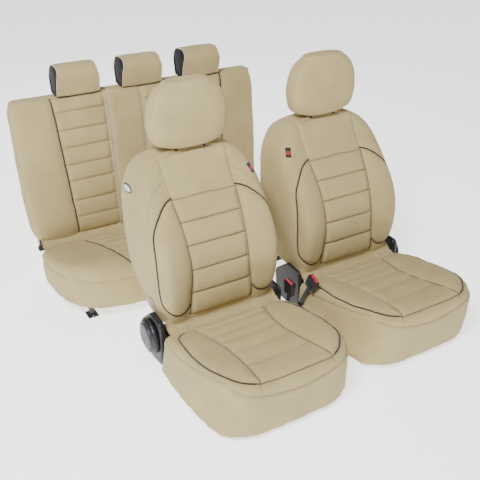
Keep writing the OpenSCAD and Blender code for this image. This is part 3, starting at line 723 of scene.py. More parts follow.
def make_back(side, place):
    outline = spline([(0.264, 0.126), (0.272, 0.180), (0.290, 0.280), (0.298, 0.400), (0.298, 0.500),
                      (0.292, 0.600), (0.277, 0.672), (0.243, 0.734), (0.188, 0.775), (0.120, 0.795)], 30)
    outline = evenly(outline, GRID)
    lines = (BACK_FRONT, BACK_REAR, BACK_BOLSTER, BACK_INSERT)
    rows = [(back_section(w, *(float(f(np.array(z))) for f in lines)), z) for w, z in outline]
    counts = [18, 19, 14, 15, 13, 16, 18, 12, 8, 12, 10]
    skin = skin_of(loft(rows, counts, 0.012, 0.008))
    p = skin.p
    facing = p[:, 1] < BACK_FRONT(p[:, 2]) + 0.05
    insert = BACK_INSERT(p[:, 2])
    seam_gap = np.abs(np.abs(p[:, 0]) - insert)
    wing_line = spline(WING)
    wing_gap = gap_to(np.abs(p[:, 0]), p[:, 2], wing_line)
    held = np.clip(1 - np.minimum(seam_gap, wing_gap) / 0.016, 0, 1) * facing
    for height in BACK_SEAMS:
        held = np.maximum(held, np.clip(1 - np.abs(p[:, 2] - height) / 0.014, 0, 1)
                          * facing * (np.abs(p[:, 0]) < insert))
    held = np.maximum(held, np.clip((p[:, 2] - 0.77) / 0.02, 0, 1))
    held = np.maximum(held, np.clip((0.15 - p[:, 2]) / 0.02, 0, 1))
    skin.swell(0.15 + 0.85 * held, 0.007)
    # quilting of the insert, the side panels and the plain upper panel
    in_insert = (np.abs(p[:, 0]) < insert) & facing
    fall = smooth(insert - np.abs(p[:, 0]), 0.0, 0.022)
    ribs = rib_puff(p[:, 2], BACK_SEAMS) * fall * 0.0115 * in_insert
    ring = np.vstack([wing_line, [(0.150, 0.30), (0.137, 0.363), (0.139, 0.464), (0.144, 0.551)]])
    in_wing = inside(np.abs(p[:, 0]), p[:, 2], ring) & facing
    edge = np.minimum(wing_gap, seam_gap)
    wing = 0.0090 * smooth(edge, 0.0, 0.03) ** 0.6 * in_wing
    upper = (p[:, 2] > BACK_SEAMS[-1]) & (p[:, 2] < BACK_TOP_SEAM) & in_insert
    panel = 0.004 * upper * fall * smooth(p[:, 2], BACK_SEAMS[-1], BACK_SEAMS[-1] + 0.03) ** 0.7
    uneven = 0.0010 * ripples(p, 0.16, 3) + 0.0004 * ripples(p, 0.05, 4)
    skin.push(ribs + wing + panel + uneven)
    foam = foam_block(skin, side + "_back_filling", place, side + "_back", [side + "_back_foam"])
    # sewn lines
    tree = skin.tree()
    ahead = (0, 1, 0)
    across = [lay(tree, front_line([(-k, z), (0, z + 0.002), (k, z)]), ahead)
              for z in BACK_SEAMS for k in [float(BACK_INSERT(np.array(z)))]]
    top_k = float(BACK_INSERT(np.array(BACK_TOP_SEAM)))
    upright = [(float(BACK_INSERT(np.array(z))), z) for z in np.linspace(BACK_SEAMS[0], BACK_SEAMS[-1], 12)]
    upper_side = [(0.150, 0.633), (0.153, 0.70), (top_k, BACK_TOP_SEAM)]
    top_across = [(-0.19, 0.752), (-0.165, 0.776), (-0.10, BACK_TOP_SEAM), (0, BACK_TOP_SEAM + 0.002),
                  (0.10, BACK_TOP_SEAM), (0.165, 0.776), (0.19, 0.752)]
    shoulder = [(0.165, 0.700), (0.225, 0.668), (0.262, 0.622), (0.281, 0.57)]
    both = lambda line: [lay(tree, front_line(line), ahead), lay(tree, front_line(mirrored(line)), ahead)]
    sides = both(upright)
    uppers = both(upper_side)
    shoulders = both(shoulder)
    top = [lay(tree, front_line(top_across), ahead)]
    wings = both(WING)
    gusset = []
    for s in (-1, 1):
        line = [(s * 1.0, float(BACK_FRONT(np.array(z))) + 0.050, z) for z in np.linspace(0.15, 0.70, 90)]
        gusset.append(lay(tree, line, (-s, 0, 0)))
        rear_line = [(s * 1.0, float(BACK_REAR(np.array(z))) - 0.045, z) for z in np.linspace(0.17, 0.70, 90)]
        gusset.append(lay(tree, rear_line, (-s, 0, 0)))
    rear_middle = [lay(tree, [(x, 1.0, 0.66 + 0.06 * math.cos(x / 0.2)) for x in np.linspace(-0.2, 0.2, 60)],
                       (0, -1, 0))]
    skin.sew(across, 0.0042, 0.0050)
    skin.sew(sides + uppers, 0.0036, 0.0046)
    skin.sew(wings, 0.0034, 0.0055)
    skin.sew(shoulders + top + gusset + rear_middle, 0.0018, 0.0036)
    cover = skin.mesh(side + "_back_covering", place, finish["cover_cloth"])
    own(cover, side + "_back", [side + "_back_cover"])
    tree = skin.tree()
    body = side + "_back"
    pipe = [tube(calm(snap(tree, path, PIPING_R * 0.45)), PIPING_R, 10) for path in wings]
    trim_piece(side + "_back_piping", pipe, place, "piping_cord", body)
    cords = [tube(calm(snap(tree, path, CORD_R * 0.3)), CORD_R, 6) for path in sides]
    cords += [tube(calm(snap(tree, path, 0.0003)), 0.0011, 6) for path in across]
    trim_piece(side + "_back_seam_cord", cords, place, "insert_thread", body)
    plain_seams = uppers + shoulders + top + gusset + rear_middle
    light = [tube(calm(snap(tree, path, 0.0002)), 0.0008, 6) for path in plain_seams]
    trim_piece(side + "_back_light_seams", light, place, "stitch_thread", body)
    rows = stitches(tree, wings, 0.0062, (0, -1, 0.2)) + stitches(tree, wings, -0.0062, (0, -1, 0.2))
    rows += stitches(tree, uppers + shoulders + top, 0.0045, (0, -1, 0.5))
    rows += stitches(tree, sides, 0.0042, (0, -1, 0.2))
    trim_piece(side + "_back_stitches", rows, place, "stitch_thread", body)
    return skin, tree


def snap(tree, path, lift):
    """Moves a path onto the nearest skin and lifts it off along the normal."""
    out = []
    for point in path:
        spot, normal, _, _ = tree.find_nearest(Vector(point))
        out.append(np.array(spot) + np.array(normal) * lift)
    return np.array(out)


# ---------------------------------------------------------------- seat cushions

def roll_spacing(length, radius, step):
    """Distances from one edge to the other, close together where both edges roll over."""
    turn = np.linspace(0, math.pi / 2, 9)[:-1]
    roll = radius * (1 - np.cos(turn))
    middle = np.linspace(radius, length - radius, int((length - 2 * radius) / step))
    return np.concatenate([roll, middle, (length - roll)[::-1]])


def even_at(line, share):
    """Points of a line at the given shares of its length."""
    at = lengths(line)
    want = np.asarray(share) * at[-1]
    return np.stack([np.interp(want, at, line[:, k]) for k in range(line.shape[1])], axis=1)


class CushionShape:
    """A cushion cover's plain shape: a top over a rounded plan, and a skirt that hangs from its edge."""

    def __init__(self, outline, corner, rear, top, roll, step, skirt_in, low=0.0):
        """outline: half the plan (x, y) from the middle of the front to the rear. corner: the share of it
        where the front becomes the side. top(x, y): height. roll: radius of the edge. low: height of the
        skirt's lower edge. skirt_in(points): how far that edge lies inside the upper one."""
        at = lengths(outline)
        split = corner * at[-1]
        front_half = even_at(outline, np.linspace(0, corner, 60))
        side = even_at(outline, np.linspace(corner, 1, 120))
        front = np.vstack([mirrored(front_half[::-1])[:-1], front_half])
        wide = 2 * split
        deep = at[-1] - split
        across = roll_spacing(wide, roll, step)
        back = np.concatenate([across[:8], np.linspace(across[8], deep, int((deep - roll) / step))])
        u = resample_line(across / wide, third(len(across)))
        v = resample_line(back / deep, third(len(back)))
        f, right = even_at(front, u), even_at(side, v)
        left = mirrored(right)
        back_line = np.column_stack([f[:, 0] * rear[0] / abs(f[0, 0]), np.full(len(u), rear[1])])
        uu, vv = u[None, :, None], v[:, None, None]
        plan = ((1 - vv) * f[None] + vv * back_line[None] + (1 - uu) * left[:, None] + uu * right[:, None]
                - ((1 - uu) * (1 - vv) * f[0] + uu * (1 - vv) * f[-1]
                   + (1 - uu) * vv * back_line[0] + uu * vv * back_line[-1]))
        x, y = plan[..., 0], plan[..., 1]
        edge = np.vstack([mirrored(outline[::-1])[:-1], outline])
        gap = gap_to(x, y, edge[::2])
        radius = self.edge_radius(x, y, roll, outline)
        fall = 1 - np.clip(gap / radius, 0, 1)
        height = top(x, y) - radius * (1 - np.sqrt(np.clip(1 - fall**2, 0, 1)))
        grid = np.stack([x, y, height], axis=2)
        self.rows, self.columns = grid.shape[:2]
        index = np.arange(grid[..., 0].size).reshape(grid.shape[:2])
        rim = np.concatenate([index[::-1, 0], index[0, 1:], index[1:, -1]])
        rim_points = grid.reshape(-1, 3)[rim]
        drop = third(int((0.17 - low) / (1.3 * step)))
        levels = np.linspace(0, 1, drop)
        outward = unit(np.column_stack([np.gradient(rim_points[:, 1]), -np.gradient(rim_points[:, 0])]))
        round_seat = lengths(rim_points)
        skirt = []
        for level in levels:
            inward = skirt_in(rim_points) * (1 - level) ** 1.6
            wave = 0.0012 * (1 - level) ** 1.3 * (np.sin(round_seat * 61 + 1.3 * np.sin(round_seat * 17))
                                                 + 0.6 * np.sin(round_seat * 118 + 2))
            belly = 0.003 * math.sin(math.pi * level)
            flat = rim_points[:, :2] + outward * (wave + belly - inward)[:, None]
            skirt.append(np.column_stack([flat, low + (rim_points[:, 2] - low) * level]))
        skirt = np.array(skirt)
        hem = []
        for inward, rise in ((0.0042, 0.014), (0.0045, 0.004), (0.003, 0.0006)):
            flat = skirt[0][:, :2] - outward * inward
            hem.append(np.column_stack([flat, np.full(len(flat), low + rise)]))
        skirt = np.vstack([np.array(hem), skirt])
        while (len(skirt) - 1) % SWELL_STEP:
            skirt = np.vstack([skirt[:1] + [0, 0, 0.004], skirt])
        hang = skirt[:-1]
        start = grid[..., 0].size
        lower = start + np.arange(hang[..., 0].size).reshape(hang.shape[:2])
        skirt_index = np.vstack([lower, rim[None]])
        points = np.vstack([grid.reshape(-1, 3), hang.reshape(-1, 3)])
        flat_top = np.stack([np.broadcast_to((u * wide)[None], x.shape), lengths(grid).mean(axis=1)[:, None]
                             + np.zeros_like(x)], axis=2)
        down = lengths(skirt).mean(axis=1)[:, None] + np.zeros(skirt.shape[:2])
        flat_skirt = np.stack([np.broadcast_to(round_seat[None], down.shape), down], axis=2)
        self.skin = Skin(points, [(index, flat_top), (skirt_index, flat_skirt)])
        self.hem_start = start

    def edge_radius(self, x, y, roll, outline):
        front = smooth(-(y - outline[0, 1]), -0.13, -0.02)
        return roll * (0.62 + 0.38 * front)


def resample_line(values, count):
    return np.interp(np.linspace(0, len(values) - 1, count), np.arange(len(values)), values)


CUSHION_SEAMS = (-0.485, -0.354, -0.232, -0.138, -0.073, -0.003, 0.058)   # seams across the insert
CUSHION_INSERT = profile((-0.500, 0.164), (-0.464, 0.159), (-0.356, 0.146), (-0.227, 0.137), (-0.105, 0.143),
                         (0.033, 0.172), (0.060, 0.176))
CUSHION_WING = [(0.212, 0.028), (0.236, 0.020), (0.252, 0.004), (0.272, -0.040), (0.285, -0.150),
                (0.284, -0.280), (0.262, -0.385), (0.215, -0.452), (0.164, -0.484)]


def cushion_top(x, y):
    rake = 0.118 + (0.010 - y) * math.tan(math.radians(10.5))
    behind = 0.012 * smooth(y, 0.010, 0.065)
    along = smooth(y, -0.475, -0.36) * (1 - 0.5 * smooth(y, -0.06, 0.03))
    return rake - behind + 0.017 * smooth(np.abs(x), 0.13, 0.205) * along


def make_cushion(side, place):
    outline = spline([(0.0, -0.509), (0.10, -0.508), (0.185, -0.502), (0.242, -0.476), (0.279, -0.410),
                      (0.299, -0.300), (0.305, -0.150), (0.302, 0.000), (0.297, 0.060)], 16)

    def skirt_in(rim):
        front = smooth(-rim[:, 1], 0.40, 0.49)
        clear = np.where(rim[:, 0] > 0, smooth(-rim[:, 1], -0.01, 0.10), 1.0)
        return 0.018 * front - 0.018 * (1 - front) * clear

    shape = CushionShape(outline, 0.335, (0.297, 0.060), cushion_top, 0.052, GRID, skirt_in, SKIRT_LOW)
    skin = shape.skin
    p = skin.p
    on_top = np.zeros(len(p), bool)
    on_top[:shape.hem_start] = True
    p[:, 2] -= 0.016 * smooth(p[:, 1], -0.38, -0.05) * smooth(-p[:, 2], -0.10, 0.02) * ~on_top
    insert = CUSHION_INSERT(p[:, 1])
    seam_gap = np.abs(np.abs(p[:, 0]) - insert)
    wing_line = spline(CUSHION_WING)
    wing_gap = gap_to(np.abs(p[:, 0]), p[:, 1], wing_line)
    held = np.clip(1 - np.minimum(seam_gap, wing_gap) / 0.015, 0, 1) * on_top
    for y in CUSHION_SEAMS:
        near = np.clip(1 - np.abs(p[:, 1] - y) / 0.013, 0, 1)
        held = np.maximum(held, near * on_top * (np.abs(p[:, 0]) < insert))
    held = np.maximum(held, np.clip(1 - (p[:, 2] - SKIRT_LOW - 0.02) / 0.03, 0, 1))
    held = np.maximum(held, np.clip((p[:, 1] - 0.03) / 0.02, 0, 1))
    skin.swell(0.2 + 0.8 * held, 0.007)
    in_insert = (np.abs(p[:, 0]) < insert) & on_top
    fall = smooth(insert - np.abs(p[:, 0]), 0.0, 0.024)
    ribs = rib_puff(p[:, 1], CUSHION_SEAMS, 0.85) * fall * 0.0115 * in_insert
    ring = np.vstack([wing_line, [(0.150, -0.400), (0.139, -0.300), (0.137, -0.227), (0.143, -0.105),
                                  (0.165, 0.0), (0.2, 0.035)]])
    in_wing = inside(np.abs(p[:, 0]), p[:, 1], ring) & on_top
    edge = np.minimum(wing_gap, seam_gap)
    wing = 0.0085 * smooth(edge, 0.0, 0.032) ** 0.6 * in_wing
    uneven = 0.0011 * ripples(p, 0.15, 5) + 0.0004 * ripples(p, 0.05, 6)
    skin.push(ribs + wing + uneven * smooth(p[:, 2], SKIRT_LOW, SKIRT_LOW + 0.03))
    beside_buckle = 0.3055 + 0.030 * smooth(-skin.p[:, 1], 0.11, 0.22)
    skin.p[:, 0] = np.minimum(skin.p[:, 0], beside_buckle)
    foam_block(skin, side + "_cushion_filling", place, side + "_seat", [side + "_cushion_foam"], 0.014,
               0.070)
    tree = skin.tree()
    down = (0, 0, -1)
    both = lambda line: [lay(tree, top_line(line), down), lay(tree, top_line(mirrored(line)), down)]
    across = [lay(tree, top_line([(-k, y), (0, y - 0.003), (k, y)]), down)
              for y in CUSHION_SEAMS[:-1] for k in [float(CUSHION_INSERT(np.array(y)))]]
    sides = both([(float(CUSHION_INSERT(np.array(y))), y) for y in np.linspace(0.055, CUSHION_SEAMS[0], 14)])
    wings = both(CUSHION_WING)
    band = []
    for s in (-1, 1):
        route = evenly(spline([(0.040, 0.098), (-0.050, 0.103), (-0.150, 0.128), (-0.247, 0.152),
                               (-0.340, 0.178), (-0.410, 0.196)]), 0.004)
        band.append(lay(tree, [(s * 1.0, y, z) for y, z in route], (-s, 0, 0)))
    front_route = evenly(spline([(-0.262, 0.182), (-0.215, 0.170), (-0.120, 0.148), (0, 0.138),
                                 (0.120, 0.148), (0.215, 0.170), (0.262, 0.182)]), 0.004)
    band.append(lay(tree, [(x, -1.0, z) for x, z in front_route], (0, 1, 0)))
    corner_links = []
    for s in (-1, 1):
        k = float(CUSHION_INSERT(np.array(CUSHION_SEAMS[0])))
        link = [(s * k, -0.485), (s * (k + 0.003), -0.493), (s * (k + 0.004), -0.499)]
        corner_links.append(lay(tree, top_line(link), down))
    skin.sew(across, 0.0050, 0.0048)
    skin.sew(sides, 0.0036, 0.0042)
    skin.sew(wings, 0.0034, 0.0055)
    skin.sew(band + corner_links, 0.0050, 0.0050)
    cover = skin.mesh(side + "_cushion_covering", place, finish["cover_cloth"])
    body = side + "_seat"
    own(cover, body, [side + "_cushion_cover"])
    tree = skin.tree()
    pipe = [tube(calm(snap(tree, path, PIPING_R * 0.45)), PIPING_R * np.minimum(
        1, 0.35 + np.arange(len(path))[::-1] / 8), 10) for path in wings]
    trim_piece(side + "_cushion_piping", pipe, place, "piping_cord", body)
    cords = [tube(calm(snap(tree, path, CORD_R * 0.3)), CORD_R, 6) for path in across[:1] + sides]
    trim_piece(side + "_cushion_seam_cord", cords, place, "insert_thread", body)
    light = [tube(calm(snap(tree, path, 0.0003)), 0.0012, 6) for path in across[1:] + band + corner_links]
    trim_piece(side + "_cushion_light_seams", light, place, "stitch_thread", body)
    rows = stitches(tree, wings, 0.0062, (0, 0, 1)) + stitches(tree, wings, -0.0062, (0, 0, 1))
    rows += stitches(tree, sides, 0.0042, (0, 0, 1)) + stitches(tree, band[:2], 0.0045, (1, 0, 0.3))
    rows += stitches(tree, band[2:], 0.0045, (0, -1, 0.3))
    trim_piece(side + "_cushion_stitches", rows, place, "stitch_thread", body)


# ---------------------------------------------------------------- tucks between cushions and backrests

def make_tuck(name, place, route, x0, x1, raised, start, end):
    """A padded strip of cover cloth that closes the crease. route: its upper face as (y, z), from the cushion
    up behind the backrest's lower edge. raised(x): how much higher its cushion side lies."""
    upper = evenly(spline(route, 8), 0.004)
    way = unit(np.gradient(upper, axis=0))
    lower = upper - np.column_stack([-way[:, 1], way[:, 0]]) * 0.006
    share = np.linspace(0, 1, len(upper)) ** 2
    share = np.concatenate([share, share[::-1], share[:1]])
    section = np.vstack([upper, lower[::-1], upper[:1]])
    middle = section.mean(axis=0)
    ends = [(0.15, 0.000), (0.55, 0.001), (0.85, 0.003)]
    stations = [(k, x0 + d) for k, d in ends] + [(1.0, x) for x in np.linspace(x0 + 0.006, x1 - 0.006, 90)]
    stations += [(k, x1 - d) for k, d in ends[::-1]]
    rings = []
    for k, x in stations:
        ring = middle + (section - middle) * k
        lift = raised(x) * (1 - share) + 0.0012 * np.sin(x * 90 + 2 * math.sin(x * 31)) * (1 - share)
        rings.append(np.column_stack([np.full(len(ring), x), ring[:, 0], ring[:, 1] + lift]))
    piece = skin_of(np.array(rings)).mesh(name, place, finish["cover_cloth"])
    place(np.array(start)).tolist()
    place(np.array(end)).tolist()
    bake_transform(piece)


def make_front_tuck(side, place):
    route = [(0.036, 0.100), (0.052, 0.103), (0.070, 0.104), (0.088, 0.108), (0.099, 0.120), (0.106, 0.150)]
    raised = lambda x: 0.008 * float(smooth(np.array(abs(x)), 0.13, 0.205))
    make_tuck(side + "_tuck", place, route, -0.270, 0.270, raised,
              (0, 0.062, 0.104), (0, 0.100, 0.122))


def make_bench_tucks():
    route = [(0.972, 0.133), (0.992, 0.132), (1.012, 0.132), (1.034, 0.136), (1.050, 0.150), (1.060, 0.182)]
    for name, x0, x1 in (("narrow", -0.625, SPLIT - 0.010), ("wide", SPLIT + 0.010, 0.625)):
        make_tuck(name + "_tuck", bench_place, route, x0, x1, lambda x: 0.0,
                  (0, 1.012, 0.132), (0, 1.050, 0.150))


# ---------------------------------------------------------------- front head restraints

def make_headrest(side, place):
    outline = evenly(spline([(0.112, 0.813), (0.160, 0.833), (0.180, 0.895), (0.176, 0.965), (0.150, 1.036),
                             (0.102, 1.076)], 30), GRID * 1.1)
    middle_y = 0.375
    rows = []
    for w, z in outline:
        thin = 1 - 0.42 * smooth(z, 0.98, 1.09) - 0.16 * (1 - smooth(z, 0.805, 0.865))
        front, rear = middle_y - 0.063 * thin, middle_y + 0.060 * thin
        half = []
        for turn in np.linspace(0, math.pi, 13):
            c, s = math.cos(turn), math.sin(turn)
            depth = 0.5 * (rear - front)
            y = 0.5 * (front + rear) - depth * math.copysign(abs(c) ** 0.62, c)
            half.append((w * abs(s) ** 0.62, y))
        rows.append((half, z))
    skin = skin_of(loft(rows, [7] * 12, 0.010, 0.011))
    p = skin.p
    held = np.clip((0.85 - p[:, 2]) / 0.03, 0, 1)
    skin.swell(0.12 + 0.88 * held, 0.005)
    skin.push(0.0012 * ripples(p, 0.12, 7) + 0.0004 * ripples(p, 0.04, 8))
    foam_block(skin, side + "_headrest_filling", place, side + "_headrest", [side + "_headrest_foam"])
    tree = skin.tree()
    arch = []
    for setback in (0.030, -0.026):
        line = []
        for w, z in outline:
            line.append((w, middle_y - setback * (1 - 0.35 * float(smooth(np.array(z), 0.98, 1.08))), z))
        line = np.array(line)
        top = np.array([(x, line[-1, 1], 1.10) for x in np.linspace(0.098, -0.098, 40)])
        whole = np.vstack([line, top, mirrored(line[::-1])])
        arch.append(snap(tree, evenly(whole, 0.004), 0.0))
    skin.sew(arch, 0.0015, 0.0035)
    cover = skin.mesh(side + "_headrest_covering", place, finish["cover_cloth"])
    body = side + "_headrest"
    own(cover, body, [side + "_headrest_cover"])
    tree = skin.tree()
    cords = [tube(calm(snap(tree, path, 0.0002)), 0.0008, 6) for path in arch]
    trim_piece(side + "_headrest_seams", cords, place, "stitch_thread", body)


# ---------------------------------------------------------------- rigid pieces

def lathe(outline, x_sign, centre, segments=72):
    """A turned piece about an axle along X. outline: (distance along x, radius) points."""
    turn = np.linspace(0, 2 * math.pi, segments, endpoint=False)
    points = []
    for along, radius in outline:
        for a in turn:
            points.append((centre[0] + x_sign * along, centre[1] + radius * math.cos(a),
                           centre[2] + radius * math.sin(a)))
    index = np.arange(len(outline) * segments).reshape(len(outline), segments)
    return np.array(points), grid_faces(np.hstack([index, index[:, :1]])).tolist()


def plate(outline, x0, x1, radius, dome=0.0):
    """A plate with rounded edges from a closed (y, z) outline, between x0 and its outer face x1."""
    outline = np.array(outline)
    middle = outline.mean(axis=0)
    way = math.copysign(1, x1 - x0)
    ahead = unit(np.roll(outline, -1, axis=0) - np.roll(outline, 1, axis=0))
    outward = np.column_stack([ahead[:, 1], -ahead[:, 0]])
    if np.sum(outward * (outline - middle)) < 0:
        outward = -outward
    rings = [np.column_stack([np.full(len(outline), x0), outline - outward * 0.002])]
    rings.append(np.column_stack([np.full(len(outline), x0), outline]))
    for turn in np.linspace(0, math.pi / 2, 7):
        rings.append(np.column_stack([np.full(len(outline), x1 - way * radius * (1 - math.sin(turn))),
                                      outline - outward * radius * (1 - math.cos(turn))]))
    last = rings[-1]
    for share in (0.93, 0.8, 0.6, 0.35, 0.12, 0.0):
        ring = last.copy()
        ring[:, 1:] = middle + (last[:, 1:] - middle) * share
        ring[:, 0] = x1 + way * dome * (1 - share**2)
        rings.append(ring)
    inner = rings[0].copy()
    inner[:, 1:] = middle
    rings.insert(0, inner)
    grid = np.array(rings)
    index = np.arange(grid[..., 0].size).reshape(grid.shape[:2])
    return grid.reshape(-1, 3), grid_faces(np.hstack([index, index[:, :1]])).tolist()


def convex_ring(circles, count=96):
    """Outline round a set of circles (y, z, r), as a belt would run."""
    turn = np.linspace(0, 2 * math.pi, count, endpoint=False)
    ways = np.column_stack([np.cos(turn), np.sin(turn)])
    reach = np.array([[w @ np.array(c[:2]) + c[2] for c in circles] for w in ways])
    best = reach.argmax(axis=1)
    return np.array([np.array(circles[k][:2]) + w * circles[k][2] for k, w in zip(best, ways)])


PIVOT = (0.150, 0.070)
WHEEL_OUT = 0.008      # the shield is this much thicker than in the CAD


def make_hardware(side, place):
    seat = side + "_seat"
    trim = [(0.094, 0.142, 0.024), (0.160, 0.136, 0.034), (0.232, 0.064, 0.040), (0.226, -0.018, 0.036),
            (0.150, -0.028, 0.028), (0.090, -0.024, 0.024)]
    rim = evenly(np.vstack([convex_ring(trim, 180), convex_ring(trim, 180)[:1]]), 0.004)[:-1]
    outer = plate(rim, -0.2855, -0.3105, 0.009)
    boss = lathe([(0.256, 0.0315), (0.284, 0.0315), (0.2855, 0.0315)], -1, (0, *PIVOT), 48)
    piece = weld(trim_piece(side + "_outer_shield", [outer, boss], place, "black_plastic", seat))
    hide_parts(side + "_outer_trim")
    low = [(c[0], c[1] - (0.008 if k < 2 else 0.0), c[2]) for k, c in enumerate(trim)]
    rim = evenly(np.vstack([convex_ring(low, 180), convex_ring(low, 180)[:1]]), 0.004)[:-1]
    inner = plate(rim, 0.2855, 0.2965, 0.006)
    boss = lathe([(0.256, 0.0315), (0.284, 0.0315), (0.2855, 0.0315)], 1, (0, *PIVOT), 48)
    piece = weld(trim_piece(side + "_inner_shield", [inner, boss], place, "black_plastic", seat))
    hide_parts(side + "_inner_trim")
    # hand wheel: a rim with finger flutes, a dished step and a satin disc
    wheel = side + "_wheel"
    outline = [(0.3052, 0.006), (0.3052, 0.070), (0.3060, 0.0755), (0.3085, 0.0785), (0.3120, 0.0795),
               (0.3180, 0.0795), (0.3215, 0.0785), (0.3245, 0.0760), (0.3290, 0.0715), (0.3315, 0.0690),
               (0.3325, 0.0665), (0.3320, 0.0640), (0.3300, 0.0620), (0.3300, 0.0600)]
    points, faces = lathe(outline, -1, (-WHEEL_OUT, *PIVOT), 144)
    away = points[:, 1:] - PIVOT
    radius = np.linalg.norm(away, axis=1, keepdims=True)
    angle = np.arctan2(away[:, 1], away[:, 0])
    flute = 0.0011 * (0.5 + 0.5 * np.cos(angle * 30)) * smooth(radius[:, 0], 0.0765, 0.0790)
    points[:, 1:] -= away / radius * flute[:, None]
    axle = lathe([(0.249, 0.0), (0.249, 0.0057), (0.3160, 0.0057)], -1, (0, *PIVOT), 32)
    piece = weld(trim_piece(side + "_wheel_rim", [(points, faces), axle], place, "wheel_plastic", wheel))
    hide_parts(side + "_recliner_wheel")
    disc = [(0.3290, 0.0612), (0.3335, 0.0608), (0.3362, 0.0590), (0.3380, 0.0550), (0.3398, 0.0450),
            (0.3410, 0.0330), (0.3412, 0.0250), (0.3402, 0.0225), (0.3396, 0.0205), (0.3404, 0.0180),
            (0.3412, 0.0100), (0.3414, 0.0)]
    face = lathe(disc, -1, (-WHEEL_OUT, *PIVOT), 96)
    weld(trim_piece(side + "_wheel_disc", [face], place, "wheel_face", wheel))
    make_buckle(side, place)


# Each buckle's pivot (x, y, z), forward lean in degrees and distance from the pivot to the housing
BUCKLES = {"right": ((0.322, 0.056, 0.020), 4.0, 0.105), "left": ((0.322, 0.020, 0.020), 27.0, 0.148)}


def block(x, y, z, radius, steps=5):
    """A block with rounded edges. x, y, z are (low, high)."""
    turn = np.linspace(0, math.pi / 2, steps)
    rings = []
    lows, highs = (x[0], y[0]), (x[1], y[1])
    corner = []
    for cx, cy, start in ((x[1], y[1], 0), (x[0], y[1], 1), (x[0], y[0], 2), (x[1], y[0], 3)):
        for a in turn:
            corner.append((cx, cy, start * math.pi / 2 + a))
    lower = [(z[0] + radius * (1 - math.sin(a)), radius * (1 - math.cos(a))) for a in turn[::-1]]
    upper = [(z[1] - radius * (1 - math.sin(a)), radius * (1 - math.cos(a))) for a in turn]
    for height, inset in lower + upper:
        ring = []
        for cx, cy, a in corner:
            mx = cx - math.copysign(radius, cx - (lows[0] + highs[0]) / 2)
            my = cy - math.copysign(radius, cy - (lows[1] + highs[1]) / 2)
            reach = radius - inset
            ring.append((mx + reach * math.cos(a), my + reach * math.sin(a), height))
        rings.append(ring)
    rings = np.array(rings)
    count = rings.shape[1]
    index = np.arange(rings[..., 0].size).reshape(rings.shape[:2])
    faces = grid_faces(np.hstack([index, index[:, :1]])).tolist()
    faces += [index[0, ::-1].tolist(), index[-1].tolist()]
    return rings.reshape(-1, 3), faces


def make_buckle(side, place):
    pivot, lean, stalk = BUCKLES[side]
    lean = math.radians(lean)
    turn = np.array([[1, 0, 0], [0, math.cos(lean), -math.sin(lean)], [0, math.sin(lean), math.cos(lean)]])

    def leaned(part):
        return (part[0] + [0, 0, stalk]) @ turn.T + pivot, part[1]

    body = side + "_buckle"
    walls = [block((-0.013, 0.013), (-0.029, 0.029), (0.000, 0.050), 0.006),
             block((-0.013, -0.0092), (-0.029, 0.029), (0.042, 0.0675), 0.002),
             block((0.0090, 0.0130), (-0.029, 0.029), (0.042, 0.0675), 0.002),
             block((-0.013, 0.013), (-0.029, -0.0242), (0.042, 0.0675), 0.0024),
             block((-0.013, 0.013), (0.0242, 0.029), (0.042, 0.0675), 0.0024),
             block((0.0022, 0.0048), (-0.027, 0.027), (0.042, 0.0650), 0.0012)]
    piece = trim_piece(side + "_buckle_case", [leaned(w) for w in walls], place, "black_plastic", body)
    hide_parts(side + "_buckle_housing")
    push = block((-0.0085, 0.0015), (-0.0234, 0.0234), (0.0558, 0.0728), 0.0022)
    points, faces = push
    dish = 0.0012 * np.exp(-(points[:, 1] / 0.014) ** 2) * smooth(points[:, 2], 0.066, 0.0725)
    points[:, 2] -= dish
    piece = trim_piece(side + "_buckle_release", [leaned((points, faces))], place, "red_plastic",
                       side + "_button")
    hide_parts(side + "_buckle_button")


# ---------------------------------------------------------------- rear bench

BENCH_FRONT = profile((0.150, 1.052), (0.175, 1.044), (0.340, 1.054), (0.580, 1.078), (0.780, 1.104),
                      (0.832, 1.118), (0.858, 1.136))
BENCH_REAR = profile((0.150, 1.160), (0.175, 1.172), (0.300, 1.186), (0.600, 1.204), (0.800, 1.214),
                     (0.838, 1.208), (0.858, 1.190))
BENCH_SEAMS = (0.152, 0.245, 0.332, 0.438, 0.521, 0.608, 0.697, 0.784, 0.846)
BENCH_PIPE = profile((0.150, 0.423), (0.554, 0.446), (0.856, 0.464))
SPLIT = -0.183
SPLIT_EDGE = 0.002
ZIP_X = 0.0
BENCH_SIDE = profile((0.124, 0.598), (0.144, 0.622), (0.178, 0.641), (0.260, 0.652), (0.340, 0.658),
                     (0.450, 0.661), (0.700, 0.661), (0.800, 0.659), (0.838, 0.650))


def bench_section(x_out, x_split, z):
    """A level section from the split's front corner round the outer side to the split's rear corner."""
    front, rear = float(BENCH_FRONT(np.array(z))), float(BENCH_REAR(np.array(z)))
    deep = rear - front
    s = math.copysign(1, x_out - x_split)
    r = min(0.010, 0.25 * deep)
    span = abs(x_out - x_split)
    at = lambda k, y: (x_split + s * k, y)
    return [at(0.0, front + r), at(0.3 * r, front + 0.3 * r), at(r, front), at(0.3 * span, front),
            at(0.6 * span, front), at(span - 0.060, front + 0.003),
            at(span - 0.012, front + 0.013 * deep / 0.12), at(span, front + 0.3 * deep),
            at(span, front + 0.66 * deep),
            at(span - 0.008, rear - 0.014), at(span - 0.036, rear), at(0.6 * span, rear + 0.002),
            at(0.3 * span, rear + 0.002), at(r, rear), at(0.3 * r, rear - 0.3 * r), at(0.0, rear - r),
            at(0.0, front + 0.5 * deep), at(0.0, front + r)]


